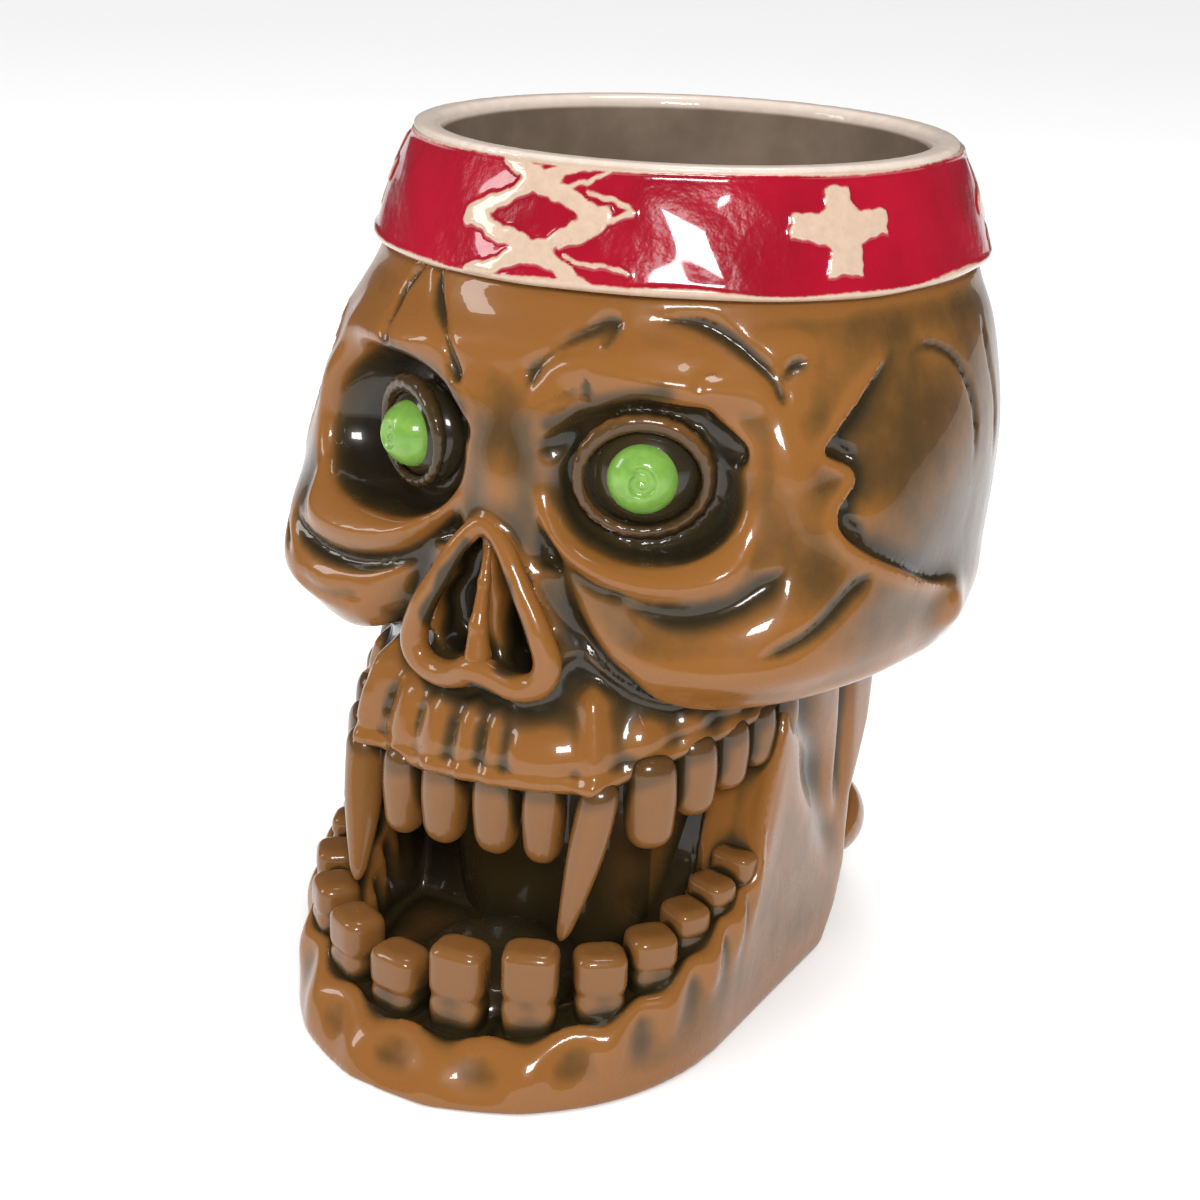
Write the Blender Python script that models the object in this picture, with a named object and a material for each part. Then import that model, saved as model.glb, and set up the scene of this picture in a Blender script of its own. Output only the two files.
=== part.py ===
"""A drinking mug in the shape of a grinning skull, with a headband round its rim.

The skull's cranium is the cup. Its face looks along -Y, its own left side is +X, and it stands on z = 0.
The origin is where the cup's centre line meets the resting plane. Lengths are in millimetres until the
mesh is made, and angles round the cup are degrees from -Y towards +X.
"""

import math

import bmesh
import bpy
import numpy as np
from mathutils import Vector

MM = 0.001

# Driving dimensions
HEIGHT = 150.0
RIM_INNER_RADIUS = 43.1
RIM_OUTER_RADIUS = 47.9
NECK_RADIUS = 47.0
LIP_HEIGHT = 1.8
SHOULDER_Z = 129.7
CUP_FLOOR_Z = 9.0
CUP_BELLY = 8.5
BAND_TOP_RADIUS = 48.7
BAND_FOOT_RADIUS = 54.8
GAP = 0.35
SURFACE_GAP = 0.5

# Plan of the mouth's back wall, which is also the front of the neck
MOUTH_HALF_WIDTH = 35.6
MOUTH_FRONT = 45.0
NECK_BACK = 40.0
GUM_Z = 49.0
GUM_RISE = 11.0

# Sections of the head by height: z, half width, front, back, squareness of the face
HEAD_SECTIONS = (
    (44.0, 38.5, 65.5, 41.0, 2.1),
    (52.0, 40.5, 65.0, 42.5, 2.1),
    (58.0, 43.0, 63.0, 44.0, 2.2),
    (64.0, 53.0, 61.0, 47.0, 2.9),
    (72.0, 58.0, 60.5, 51.5, 3.4),
    (82.0, 59.0, 60.0, 56.0, 3.5),
    (92.0, 59.5, 60.0, 59.0, 3.0),
    (102.0, 59.5, 59.0, 60.0, 2.5),
    (112.0, 58.0, 58.5, 59.0, 2.2),
    (121.0, 56.0, 56.5, 56.5, 2.05),
    (SHOULDER_Z, 52.6, 52.6, 52.8, 2.0),
)
BACK_SQUARENESS = 2.0

# Swells and hollows of the face: angle, z, half width, half height, lift. Both sides of the face have them.
FACE_FEATURES = (
    (31.0, 114.0, 18.0, 5.5, 3.4),
    (23.5, 101.0, 14.5, 12.0, -7.0),
    (66.0, 104.0, 12.0, 14.0, -2.2),
    (47.0, 74.0, 15.0, 7.0, 2.5),
    (0.0, 77.0, 15.0, 13.0, 1.8),
    (6.5, 77.0, 5.0, 9.0, -4.0),
    (36.0, 61.0, 9.0, 4.0, -4.5),
)

# Jaw: half-ovals of the resting edge and of the plate's top edge, as half width, centre y, depth
JAW_FOOT = (39.5, -47.0, 43.5)
JAW_LIP = (41.2, -43.0, 41.4)
JAW_BACK_Y = 9.0
FRONT_SHARE = 0.7
BRANCH_START = 0.74
BRANCH_LENGTH = 0.08
LIP_Z = 9.4
LIP_RISE = 19.6
SHELF_DROP = 0.6

# Eyes
EYE_ANGLE = 23.4
EYE_DISTANCE = 54.2
EYE_Z = 102.0
EYE_RADIUS = 11.0
EYE_BULGE = 5.8
IRIS_RADIUS = 6.7
IRIS_THICKNESS = 1.0

# Lower teeth: across from their midline, y, width, height of the tip on the left and on the right
LOWER_MIDLINE = -1.0
LOWER_ARCH_Y = -34.0
LOWER_TEETH = (
    (6.0, -76.5, 9.8, 24.2, 19.8),
    (17.6, -73.0, 9.6, 25.6, 21.6),
    (26.8, -66.4, 9.0, 24.8, 22.4),
    (32.0, -58.6, 8.2, 26.4, 24.4),
    (34.4, -51.0, 7.2, 28.6, 27.0),
    (36.2, -44.8, 6.2, 31.4, 30.0),
    (37.6, -39.2, 5.4, 34.6, 34.0),
)
# Upper teeth: across from their midline, y, width, and length from the gum
UPPER_MIDLINE = -1.9
UPPER_ARCH_Y = -22.0
UPPER_INCISORS = ((5.2, -63.2, 8.6), (14.0, -62.4, 7.6))
INCISOR_LENGTH = 13.6
CHEEK_TEETH = (
    (29.0, -54.6, 8.0, 13.5),
    (33.0, -47.6, 7.0, 11.5),
    (35.6, -41.6, 6.0, 9.5),
    (37.2, -36.3, 5.2, 7.5),
    (38.4, -31.6, 4.6, 6.0),
)
RIGHT_SETBACK = 2.0
# Fangs: across, y, height of the tip, and how far the tip leans in x and y. No two are alike.
FANG_RADIUS = 3.9
FANGS = {1: (21.5, -60.4, 23.4, (-2.8, -7.4)), -1: (-25.4, -60.2, 23.2, (3.2, -8.2))}
TOOTH_DEPTH = 6.4
TOOTH_SIDES = 10
ROOT_TURN = 6.0

# Neck bones: z, half height, reach out from the neck, half angle round the back
NECK_BONES = (
    (14.0, 7.0, 7.0, 70.0),
    (31.0, 6.0, 5.0, 58.0),
    (46.0, 5.5, 4.5, 46.0),
)

CLAY_BROWN = (0.352, 0.134, 0.030)
CLAY_OLIVE = (0.060, 0.046, 0.018)
TOOTH_AMBER = (0.342, 0.140, 0.040)
BAND_RED = (0.423, 0.008, 0.024)
IRIS_GREEN = (0.246, 0.381, 0.102)


def clear_scene():
    for thing in list(bpy.data.objects):
        bpy.data.objects.remove(thing)


def material(name, colour, roughness):
    made = bpy.data.materials.new(name)
    made.use_nodes = True
    shader = made.node_tree.nodes["Principled BSDF"]
    shader.inputs["Base Color"].default_value = (*colour, 1.0)
    shader.inputs["Roughness"].default_value = roughness
    shader.inputs["Metallic"].default_value = 0.0
    return made


def add_object(name, bm, finish, smooth=True):
    """Turns a bmesh in millimetres into an object in metres, with its faces pointing out."""
    bmesh.ops.recalc_face_normals(bm, faces=bm.faces)
    bmesh.ops.scale(bm, vec=(MM, MM, MM), verts=bm.verts)
    mesh = bpy.data.meshes.new(name)
    bm.to_mesh(mesh)
    bm.free()
    mesh.materials.append(finish)
    if smooth:
        mesh.shade_smooth()
        mesh.set_sharp_from_angle(angle=math.radians(50.0))
    made = bpy.data.objects.new(name, mesh)
    bpy.context.scene.collection.objects.link(made)
    return made


def loft(rings, closed_rows=False):
    """Skins rings of points that all have the same count. Open rows get a cap at each end."""
    bm = bmesh.new()
    rows = [[bm.verts.new(point) for point in ring] for ring in rings]
    pairs = list(zip(rows, rows[1:]))
    if closed_rows:
        pairs.append((rows[-1], rows[0]))
    for low, high in pairs:
        for a in range(len(low)):
            b = (a + 1) % len(low)
            bm.faces.new((low[a], low[b], high[b], high[a]))
    if not closed_rows:
        bm.faces.new(list(reversed(rows[0])))
        bm.faces.new(rows[-1])
    return bm


def smooth_table(table, z):
    """Reads every column of a table at height z, on a smooth curve through its rows."""
    heights = np.array([row[0] for row in table])
    values = np.array([row[1:] for row in table])
    z = min(max(z, heights[0]), heights[-1])
    slopes = np.gradient(values, heights, axis=0)
    row = min(max(int(np.searchsorted(heights, z)) - 1, 0), len(heights) - 2)
    step = heights[row + 1] - heights[row]
    t = (z - heights[row]) / step
    start = (1 + 2 * t) * (1 - t) ** 2 * values[row] + t * (1 - t) ** 2 * step * slopes[row]
    end = t * t * (3 - 2 * t) * values[row + 1] + t * t * (t - 1) * step * slopes[row + 1]
    return start + end


def smooth_step(start, end, value):
    t = min(max((value - start) / (end - start), 0.0), 1.0)
    return t * t * (3 - 2 * t)


def oval_radius(angle, half_width, front, back, squareness):
    """Distance from the axis to an oval with a squared front, in the direction of an angle."""
    side = abs(math.sin(math.radians(angle)))
    along = math.cos(math.radians(angle))
    depth = front
    if along < 0:
        depth = back
        squareness = BACK_SQUARENESS
    total = (side / half_width) ** squareness + (abs(along) / depth) ** squareness
    return total ** (-1.0 / squareness)


def polar(angle, radius, z):
    turn = math.radians(angle)
    return Vector((radius * math.sin(turn), -radius * math.cos(turn), z))


def head_radius(angle, z):
    """The skull's outside above the gums."""
    radius = oval_radius(angle, *smooth_table(HEAD_SECTIONS, z))
    for centre, height, half_width, half_height, lift in FACE_FEATURES:
        for side in (-1, 1):
            across = math.radians(angle - side * centre) * radius / half_width
            up = (z - height) / half_height
            radius += lift * math.exp(-(across**2) - up**2)
    return radius


def neck_radius(angle):
    return oval_radius(angle, MOUTH_HALF_WIDTH, MOUTH_FRONT, NECK_BACK, 2.2)


def gum_z(angle):
    """Height of the edge where the upper teeth leave the gum, which rises towards the jaw's hinges."""
    return GUM_Z + GUM_RISE * math.sin(math.radians(min(abs(angle), 90.0))) ** 2


def cup_radius(angle, z):
    """The drinking cavity: round at the rim, fuller at the back and sides, and narrow behind the mouth."""
    narrow = oval_radius(angle, 30.5, 38.5, 34.0, 2.2)
    blend = smooth_step(54.0, 78.0, z)
    foot = 3.0 * max(0.0, (CUP_FLOOR_Z + 8.0 - z) / 8.0) ** 2
    belly = smooth_step(55.0, 95.0, abs(angle)) * smooth_step(62.0, 84.0, z) * smooth_step(126.0, 108.0, z)
    return narrow + (RIM_INNER_RADIUS - narrow) * blend - foot + CUP_BELLY * belly


def column_angles():
    """Angles of the mesh's columns, close together across the face and wider apart behind it."""
    face = [-64.0 + 3.2 * step for step in range(41)]
    behind = [70.0 + 7.0 * step for step in range(1, 31)]
    return face + [angle for angle in behind if angle < 290.0]


def make_skull_cup(finish):
    angles = [angle if angle <= 180.0 else angle - 360.0 for angle in column_angles()]
    rings = []
    for share in (0.0, 0.04, 0.25, 0.5, 0.75, 1.0):
        foot = 1.2 * (share == 0.0)
        rings.append([polar(a, neck_radius(a) - foot, share * gum_z(a)) for a in angles])
    for share in np.linspace(0.0, 1.0, 25):
        ring = []
        for a in angles:
            z = gum_z(a) + (SHOULDER_Z - gum_z(a)) * share
            ring.append(polar(a, max(head_radius(a, z), neck_radius(a) + 1.0), z))
        rings.append(ring)
    lip_foot = HEIGHT - LIP_HEIGHT
    turned = (
        (NECK_RADIUS, SHOULDER_Z),
        (NECK_RADIUS, lip_foot),
        (RIM_OUTER_RADIUS, lip_foot + 0.3),
        (RIM_OUTER_RADIUS, HEIGHT - 0.8),
        (RIM_OUTER_RADIUS - 1.2, HEIGHT),
        (RIM_INNER_RADIUS + 1.2, HEIGHT),
        (RIM_INNER_RADIUS, HEIGHT - 1.2),
    )
    for radius, z in turned:
        rings.append([polar(a, radius, z) for a in angles])
    for z in (126.0, 117.0, 108.0, 96.0, 84.0, 77.0, 70.0, 62.0, 54.0, 36.0, CUP_FLOOR_Z + 8.0, CUP_FLOOR_Z + 3.0, CUP_FLOOR_Z):
        rings.append([polar(a, cup_radius(a, z), z) for a in angles])
    return add_object("skull_cup", loft(rings), finish)


def make_headband(finish):
    """A flared ring that sits on the skull's shoulder and butts up under the rim's lip."""
    inner = NECK_RADIUS + GAP
    top = HEIGHT - LIP_HEIGHT - GAP
    foot = SHOULDER_Z + GAP
    section = (
        (inner, foot),
        (BAND_FOOT_RADIUS - 2.0, foot),
        (BAND_FOOT_RADIUS - 0.5, foot + 0.6),
        (BAND_FOOT_RADIUS, foot + 2.2),
        (BAND_FOOT_RADIUS - 1.6, foot + 8.0),
        (BAND_TOP_RADIUS + 1.4, top - 4.0),
        (BAND_TOP_RADIUS, top - 0.6),
        (BAND_TOP_RADIUS - 0.5, top),
        (inner, top),
    )
    turns = np.linspace(0.0, 360.0, 64, endpoint=False)
    rings = [[polar(angle, radius, z) for radius, z in section] for angle in turns]
    return add_object("headband", loft(rings, closed_rows=True), finish)


def arch_point(arch, share):
    """A point on a half-oval arch: share 0 is its front and 1 its left end."""
    half_width, centre_y, depth = arch
    turn = share * math.pi / 2
    return Vector((half_width * math.sin(turn), centre_y - depth * math.cos(turn)))


def jaw_curve(plan, share):
    """A point on one edge of the jaw. Past its front share the oval runs straight back to the jaw's hinge."""
    half_width, centre_y, depth = plan
    side = math.copysign(1.0, share)
    front = min(abs(share) / FRONT_SHARE, 1.0)
    point = arch_point(plan, front)
    behind = max(abs(share) - FRONT_SHARE, 0.0) / (1.0 - FRONT_SHARE)
    return Vector((side * point.x, point.y + behind * (JAW_BACK_Y - centre_y)))


def jaw_heights(share):
    """Heights of the plate's top edge, the teeth's shelf and the mouth's floor."""
    s = abs(share)
    branch = smooth_step(BRANCH_START, BRANCH_START + BRANCH_LENGTH, s)
    lip = LIP_Z + LIP_RISE * min(s / FRONT_SHARE, 1.0) ** 2.2
    shelf = lip - SHELF_DROP
    floor = 6.0 + 4.0 * s
    x, y = jaw_curve(JAW_LIP, share)
    top = gum_z(math.degrees(math.atan2(x, -y)) * 0.9) - 1.5
    return (
        lip + (top - lip) * branch,
        shelf + (top - 1.2 - shelf) * branch,
        floor + (top - 2.4 - floor) * branch,
    )


def make_lower_jaw(finish):
    """The jaw's plate runs round the chin, holds the teeth on a shelf and rises to the cheekbones."""
    rings = []
    for share in np.linspace(-1.0, 1.0, 45):
        foot = jaw_curve(JAW_FOOT, share)
        lip = jaw_curve(JAW_LIP, share)
        lip_z, shelf_z, floor_z = jaw_heights(share)
        angle = math.degrees(math.atan2(lip.x, -lip.y))
        wall = polar(angle, neck_radius(angle) + SURFACE_GAP, 0.0).to_2d()
        inward = wall - lip
        thickness = inward.length
        inward.normalize()
        edge = inward * min(3.0, 0.3 * thickness)
        shelf = inward * min(12.0, 0.6 * thickness)
        section = (
            (wall, 0.0),
            (foot + inward * 1.0, 0.0),
            (foot, 1.2),
            ((foot + lip) / 2 - inward * 0.8, lip_z * 0.5),
            (lip, lip_z - 1.5),
            (lip + edge * 0.5, lip_z),
            (lip + edge, lip_z - 0.2),
            (lip + edge * 1.2, shelf_z),
            (lip + shelf, shelf_z),
            (lip + shelf * 1.15, floor_z),
            (wall, floor_z),
        )
        rings.append([Vector((point.x, point.y, z)) for point, z in section])
    return add_object("lower_jaw", loft(rings), finish)


def tooth_rings(centre, facing, width, depth, heights, swell, lean=(0.0, 0.0)):
    """Rings of a tooth's outline at each height. Swell scales a ring, and lean is how far the tip moves."""
    out = polar(facing, 1.0, 0.0).to_2d()
    across = Vector((-out.y, out.x))
    rings = []
    for z, size in zip(heights, swell):
        carried = Vector(lean) * (abs(z - heights[0]) / abs(heights[-1] - heights[0])) ** 1.3
        ring = []
        for corner in range(TOOTH_SIDES):
            turn = 2 * math.pi * corner / TOOTH_SIDES
            wide = math.copysign(abs(math.cos(turn)) ** 0.7, math.cos(turn)) * width / 2 * size
            deep = math.copysign(abs(math.sin(turn)) ** 0.7, math.sin(turn)) * depth / 2 * size
            place = centre + carried + across * wide + out * deep
            ring.append(Vector((place.x, place.y, z)))
        rings.append(ring)
    return rings


def make_tooth(name, finish, centre, arch_y, width, root_z, tip_z):
    """A peg with a rounded biting edge, wider at the tip than at the root."""
    facing = math.degrees(math.atan2(centre.x, arch_y - centre.y))
    shares = (0.0, 0.35, 0.8, 0.95, 1.0)
    heights = [root_z + (tip_z - root_z) * part for part in shares]
    rings = tooth_rings(centre, facing, width - 0.6, TOOTH_DEPTH, heights, (0.84, 0.94, 1.0, 0.86, 0.55))
    return add_object(name, loft(rings), finish)


def make_fang(name, finish, side):
    """A long curved cone that hangs free in front of the lower teeth."""
    x, y, tip_z, lean = FANGS[side]
    centre = Vector((x, y))
    facing = math.degrees(math.atan2(x, UPPER_ARCH_Y - y))
    root_z = underside_z(centre) - SURFACE_GAP
    shares = (0.0, 0.25, 0.5, 0.7, 0.85, 0.95, 1.0)
    heights = [root_z + (tip_z - root_z) * part for part in shares]
    sizes = (1.0, 0.96, 0.84, 0.66, 0.45, 0.26, 0.12)
    width = 2 * FANG_RADIUS
    rings = tooth_rings(centre, facing, width, width, heights, sizes, lean)
    return add_object(name, loft(rings), finish)


def side_name(side):
    return "left" if side > 0 else "right"


def underside_z(centre):
    """Height of the gum's underside over an upper tooth, at the tooth's lower side."""
    angle = abs(math.degrees(math.atan2(centre.x, -centre.y)))
    return gum_z(max(angle - ROOT_TURN, 0.0))


def make_upper_teeth(finish):
    for side in (-1, 1):
        for number, (across, y, width) in enumerate(UPPER_INCISORS, start=1):
            centre = Vector((UPPER_MIDLINE + side * across, y))
            root_z = underside_z(centre) - SURFACE_GAP
            name = f"upper_{side_name(side)}_incisor_{number}"
            make_tooth(name, finish, centre, UPPER_ARCH_Y, width, root_z, root_z - INCISOR_LENGTH)
        make_fang(f"{side_name(side)}_fang", finish, side)
        for number, (across, y, width, length) in enumerate(CHEEK_TEETH, start=1):
            setback = RIGHT_SETBACK * (1.0 - number / len(CHEEK_TEETH)) * (side < 0)
            centre = Vector((side * across, y + setback))
            root_z = underside_z(centre) - SURFACE_GAP
            name = f"upper_{side_name(side)}_cheek_tooth_{number}"
            make_tooth(name, finish, centre, UPPER_ARCH_Y, width, root_z, root_z - length)


def make_lower_teeth(finish):
    for side in (-1, 1):
        for number, (across, y, width, left_tip, right_tip) in enumerate(LOWER_TEETH, start=1):
            centre = Vector((LOWER_MIDLINE + side * across, y))
            half_width, centre_y, depth = JAW_LIP
            turn = math.atan2((abs(centre.x) + width / 2) / half_width, (centre_y - y) / depth)
            lip_z, _, _ = jaw_heights(FRONT_SHARE * min(2 * turn / math.pi, 1.0))
            name = f"lower_{side_name(side)}_tooth_{number}"
            tip_z = left_tip if side > 0 else right_tip
            make_tooth(name, finish, centre, LOWER_ARCH_Y, width, lip_z + SURFACE_GAP, tip_z)


def eye_rings(profile, side, sides=20):
    """Turns a profile of (radius, distance along the line of sight) round one eye's line of sight."""
    sight = polar(side * EYE_ANGLE, 1.0, 0.0)
    centre = sight * EYE_DISTANCE + Vector((0.0, 0.0, EYE_Z))
    across = Vector((-sight.y, sight.x, 0.0))
    up = Vector((0.0, 0.0, 1.0))
    rings = []
    for radius, forward in profile:
        turns = [2 * math.pi * step / sides for step in range(sides)]
        rings.append(
            [centre + sight * forward + (across * math.cos(t) + up * math.sin(t)) * radius for t in turns]
        )
    return rings


def eye_profile(grow):
    """Half-outline of the eyeball, a flattened ball, from its back to its front."""
    steps = [math.pi * (0.08 + 0.84 * step / 10) for step in range(11)]
    return [((EYE_RADIUS + grow) * math.sin(t), -(EYE_BULGE + grow) * math.cos(t)) for t in steps]


def make_eyes(ball_finish, iris_finish, skull):
    for side in (-1, 1):
        name = side_name(side)
        add_object(f"{name}_eyeball", loft(eye_rings(eye_profile(0.0), side)), ball_finish)
        seat = add_object(f"{name}_eye_seat", loft(eye_rings(eye_profile(GAP), side)), ball_finish, False)
        seat.hide_render = True
        seat.display_type = "WIRE"
        cut = skull.modifiers.new(f"{name}_eye_seat", "BOOLEAN")
        cut.operation = "DIFFERENCE"
        cut.solver = "EXACT"
        cut.object = seat
        front = EYE_BULGE + GAP
        rim_drop = EYE_BULGE * (1.0 - math.sqrt(1.0 - (IRIS_RADIUS / EYE_RADIUS) ** 2))
        middle_drop = EYE_BULGE * (1.0 - math.sqrt(1.0 - (0.6 * IRIS_RADIUS / EYE_RADIUS) ** 2))
        profile = (
            (0.6, front),
            (0.6 * IRIS_RADIUS, front - middle_drop + 0.05),
            (IRIS_RADIUS, front - rim_drop + 0.1),
            (IRIS_RADIUS, front - rim_drop + 0.1 + IRIS_THICKNESS * 0.6),
            (0.6 * IRIS_RADIUS, front - middle_drop + IRIS_THICKNESS),
            (0.6, front + IRIS_THICKNESS),
        )
        add_object(f"{name}_iris", loft(eye_rings(profile, side)), iris_finish)


def nose_outline():
    """The nose's rim as (angle, z) points: a pointed top, two round lobes and a notch between them."""
    half = (
        (0.0, 92.5),
        (4.2, 88.5),
        (8.0, 80.0),
        (10.8, 72.5),
        (10.2, 66.8),
        (6.4, 64.2),
        (2.6, 66.2),
        (0.0, 68.0),
    )
    left = [(-angle, z) for angle, z in reversed(half[1:-1])]
    return list(half) + left


def closed_curve_points(corners, per_span):
    """Points on a smooth closed curve through the corners."""
    count = len(corners)
    points = []
    for index in range(count):
        before, start, end, after = (np.array(corners[(index + k) % count]) for k in (-1, 0, 1, 2))
        for step in range(per_span):
            t = step / per_span
            bend = (2 * before - 5 * start + 4 * end - after) * t * t
            twist = (3 * start - before - 3 * end + after) * t**3
            points.append((2 * start + (end - before) * t + bend + twist) / 2)
    return points


def ridge_section(place, across, half_width, height):
    """A half-round section that lies on the skull, from one side to the other and back under itself."""
    section = []
    for share, rise in ((-1.0, 0.0), (-0.75, 0.65), (0.0, 1.0), (0.75, 0.65), (1.0, 0.0), (0.0, 0.0)):
        angle, z = place + across * share * half_width
        radius = head_radius(angle, z) + SURFACE_GAP + rise * height
        section.append(polar(angle, radius, z))
    return section


def make_nose(finish):
    points = closed_curve_points(nose_outline(), 3)
    millimetre = math.degrees(1.0 / 60.0)
    rings = []
    for index, place in enumerate(points):
        ahead = points[(index + 1) % len(points)] - points[index - 1]
        run = np.array((ahead[0] / millimetre, ahead[1]))
        run /= np.linalg.norm(run)
        across = np.array((run[1] * millimetre, -run[0]))
        rings.append(ridge_section(place, across, 1.7, 2.6))
    add_object("nose_ridge", loft(rings, closed_rows=True), finish)
    blade = []
    for z in np.linspace(88.0, 71.0, 8):
        blade.append(ridge_section(np.array((0.0, z)), np.array((millimetre, 0.0)), 1.1, 3.6))
    add_object("nasal_septum", loft(blade), finish)


def make_tongue(finish):
    """A low rounded tongue on the mouth's floor, clear of the teeth all round."""
    rings = []
    for height, size in ((0.0, 0.96), (0.3, 1.0), (0.62, 0.9), (0.85, 0.7), (0.97, 0.4), (1.0, 0.14)):
        ring = []
        for step in range(20):
            turn = 2 * math.pi * step / 20
            z = 7.6 + 8.5 * height
            ring.append(Vector((12.0 * size * math.cos(turn), -57.5 + 9.0 * size * math.sin(turn), z)))
        rings.append(ring)
    return add_object("tongue", loft(rings), finish)


def make_neck_bones(finish):
    """Collars round the back of the neck, each rounded in section and rounded off at its ends."""
    for number, (height, half_height, reach, half_angle) in enumerate(NECK_BONES, start=1):
        rings = []
        for share in np.linspace(-1.0, 1.0, 19):
            angle = 180.0 + share * half_angle
            size = math.sqrt(max(1.0 - abs(share) ** 4, 0.05))
            wave = 0.85 + 0.15 * math.cos(math.radians(share * 540.0))
            ring = []
            for turn in np.linspace(0.0, math.pi, 6):
                out = neck_radius(angle) + SURFACE_GAP + reach * size * wave * math.sin(turn)
                ring.append(polar(angle, out, height - half_height * size * math.cos(turn)))
            rings.append(ring)
        add_object(f"neck_bone_{number}", loft(rings), finish)


def main():
    clear_scene()
    brown = material("brown_glaze", CLAY_BROWN, 0.18)
    olive = material("olive_glaze", CLAY_OLIVE, 0.18)
    amber = material("tooth_glaze", TOOTH_AMBER, 0.18)
    red = material("red_glaze", BAND_RED, 0.12)
    green = material("green_glaze", IRIS_GREEN, 0.25)
    skull = make_skull_cup(brown)
    make_headband(red)
    make_lower_jaw(brown)
    make_tongue(olive)
    make_nose(brown)
    make_eyes(olive, green, skull)
    make_upper_teeth(amber)
    make_lower_teeth(amber)
    make_neck_bones(brown)


main()
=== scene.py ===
"""Skull tiki mug: the finished surface of the mug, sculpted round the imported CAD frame.

Every member is modelled as a field of distances on a grid, in millimetres, and skinned where the field is
zero. Angles go round the cup from -Y towards +X, in degrees. Left and right are the skull's own.
"""

import math
from itertools import product

import bpy
import numpy as np
from mathutils import Matrix, Vector


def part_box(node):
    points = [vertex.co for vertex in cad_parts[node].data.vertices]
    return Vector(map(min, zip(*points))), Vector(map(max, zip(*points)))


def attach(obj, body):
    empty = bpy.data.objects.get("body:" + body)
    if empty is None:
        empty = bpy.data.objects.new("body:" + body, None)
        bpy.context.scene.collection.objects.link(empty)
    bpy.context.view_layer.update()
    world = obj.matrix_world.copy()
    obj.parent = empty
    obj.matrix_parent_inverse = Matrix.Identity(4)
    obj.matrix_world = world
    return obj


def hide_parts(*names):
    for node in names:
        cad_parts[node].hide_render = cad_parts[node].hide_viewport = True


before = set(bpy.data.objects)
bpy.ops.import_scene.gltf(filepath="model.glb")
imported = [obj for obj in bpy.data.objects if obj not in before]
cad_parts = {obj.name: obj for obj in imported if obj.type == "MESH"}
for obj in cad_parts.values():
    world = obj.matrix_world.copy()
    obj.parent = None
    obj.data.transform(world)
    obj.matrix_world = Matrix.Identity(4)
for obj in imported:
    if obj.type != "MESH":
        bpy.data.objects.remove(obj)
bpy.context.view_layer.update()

# ========== Sizes from the frame ==========
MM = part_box("skull_cup")[1][2] / 150.0
HEIGHT = 150.0
SHOULDER_Z = round(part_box("headband")[0][2] / MM, 2)
CUP_FLOOR_Z = 9.0
RIM_INNER = 43.1
RIM_OUTER = 47.9
RIM_ROUNDING = 1.6
BAND_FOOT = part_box("headband")[1][0] / MM
BAND_TOP = 48.7
BAND_INSIDE = 46.0
BAND_MIDDLE_Z = 140.6
BAND_MIDDLE_RADIUS = 51.5
MOTIFS = 6
WALL_MIDDLE = 46.0

# Plans of the neck, as half width, front, back and squareness of the front
NECK_OUTSIDE = (36.0, 45.0, 40.0, 2.2)
NECK_BONE_SEAT = (35.6, 45.0, 40.0, 2.2)
NECK_WALL_MIDDLE = (33.0, 41.0, 37.0, 2.2)
NECK_INSIDE = (29.5, 37.0, 33.0, 2.2)

CELL = 0.7
TOOTH_CELL = 0.4
NOSE_CELL = CELL * 0.7
SHADE_CELL = 1.0
BAND_STEPS = 900
MAP_STEP = 0.4
UNROLL = math.radians(60.0)  # millimetres on the unrolled face for each degree, at 60 mm from the axis


# ========== Fields of distance on a grid ==========
def smooth_min(a, b, k):
    if k <= 0:
        return np.minimum(a, b)
    h = np.clip(0.5 + 0.5 * (b - a) / k, 0.0, 1.0)
    return b + (a - b) * h - k * h * (1.0 - h)


def smooth_max(a, b, k):
    return -smooth_min(-a, -b, k)


def smooth_step(low, high, value):
    t = np.clip((value - low) / (high - low), 0.0, 1.0)
    return t * t * (3.0 - 2.0 * t)


class Field:
    """Distances on a regular grid. Shapes are joined to it or cut from it inside their own boxes."""

    def __init__(self, low, high, cell):
        self.cell = cell
        counts = [int(math.ceil((b - a) / cell)) + 1 for a, b in zip(low, high)]
        self.axes = [a + cell * np.arange(n, dtype=np.float32) for a, n in zip(low, counts)]
        self.x = self.axes[0][:, None, None]
        self.y = self.axes[1][None, :, None]
        self.z = self.axes[2][None, None, :]
        self.f = np.full(counts, 50.0, dtype=np.float32)

    def window(self, low, high, pad):
        cuts = []
        for axis, a, b in zip(self.axes, low, high):
            first = int(np.searchsorted(axis, a - pad))
            last = int(np.searchsorted(axis, b + pad))
            if last <= first:
                return None
            cuts.append(slice(first, last))
        return tuple(cuts)

    def local(self, cuts):
        i, j, k = cuts
        return self.x[i], self.y[:, j], self.z[:, :, k]

    def blend(self, shape, k, merge, sign):
        cuts = self.window(shape.low, shape.high, k + 2 * self.cell)
        if cuts is not None:
            self.f[cuts] = merge(self.f[cuts], sign * shape.distance(*self.local(cuts)), k)

    def join(self, shape, k=0.0):
        self.blend(shape, k, smooth_min, 1)

    def cut(self, shape, k=0.0):
        self.blend(shape, k, smooth_max, -1)


class Shape:
    """A distance function with the box that it matters in."""

    def __init__(self, distance, low, high):
        self.distance = distance
        self.low = low
        self.high = high


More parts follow.
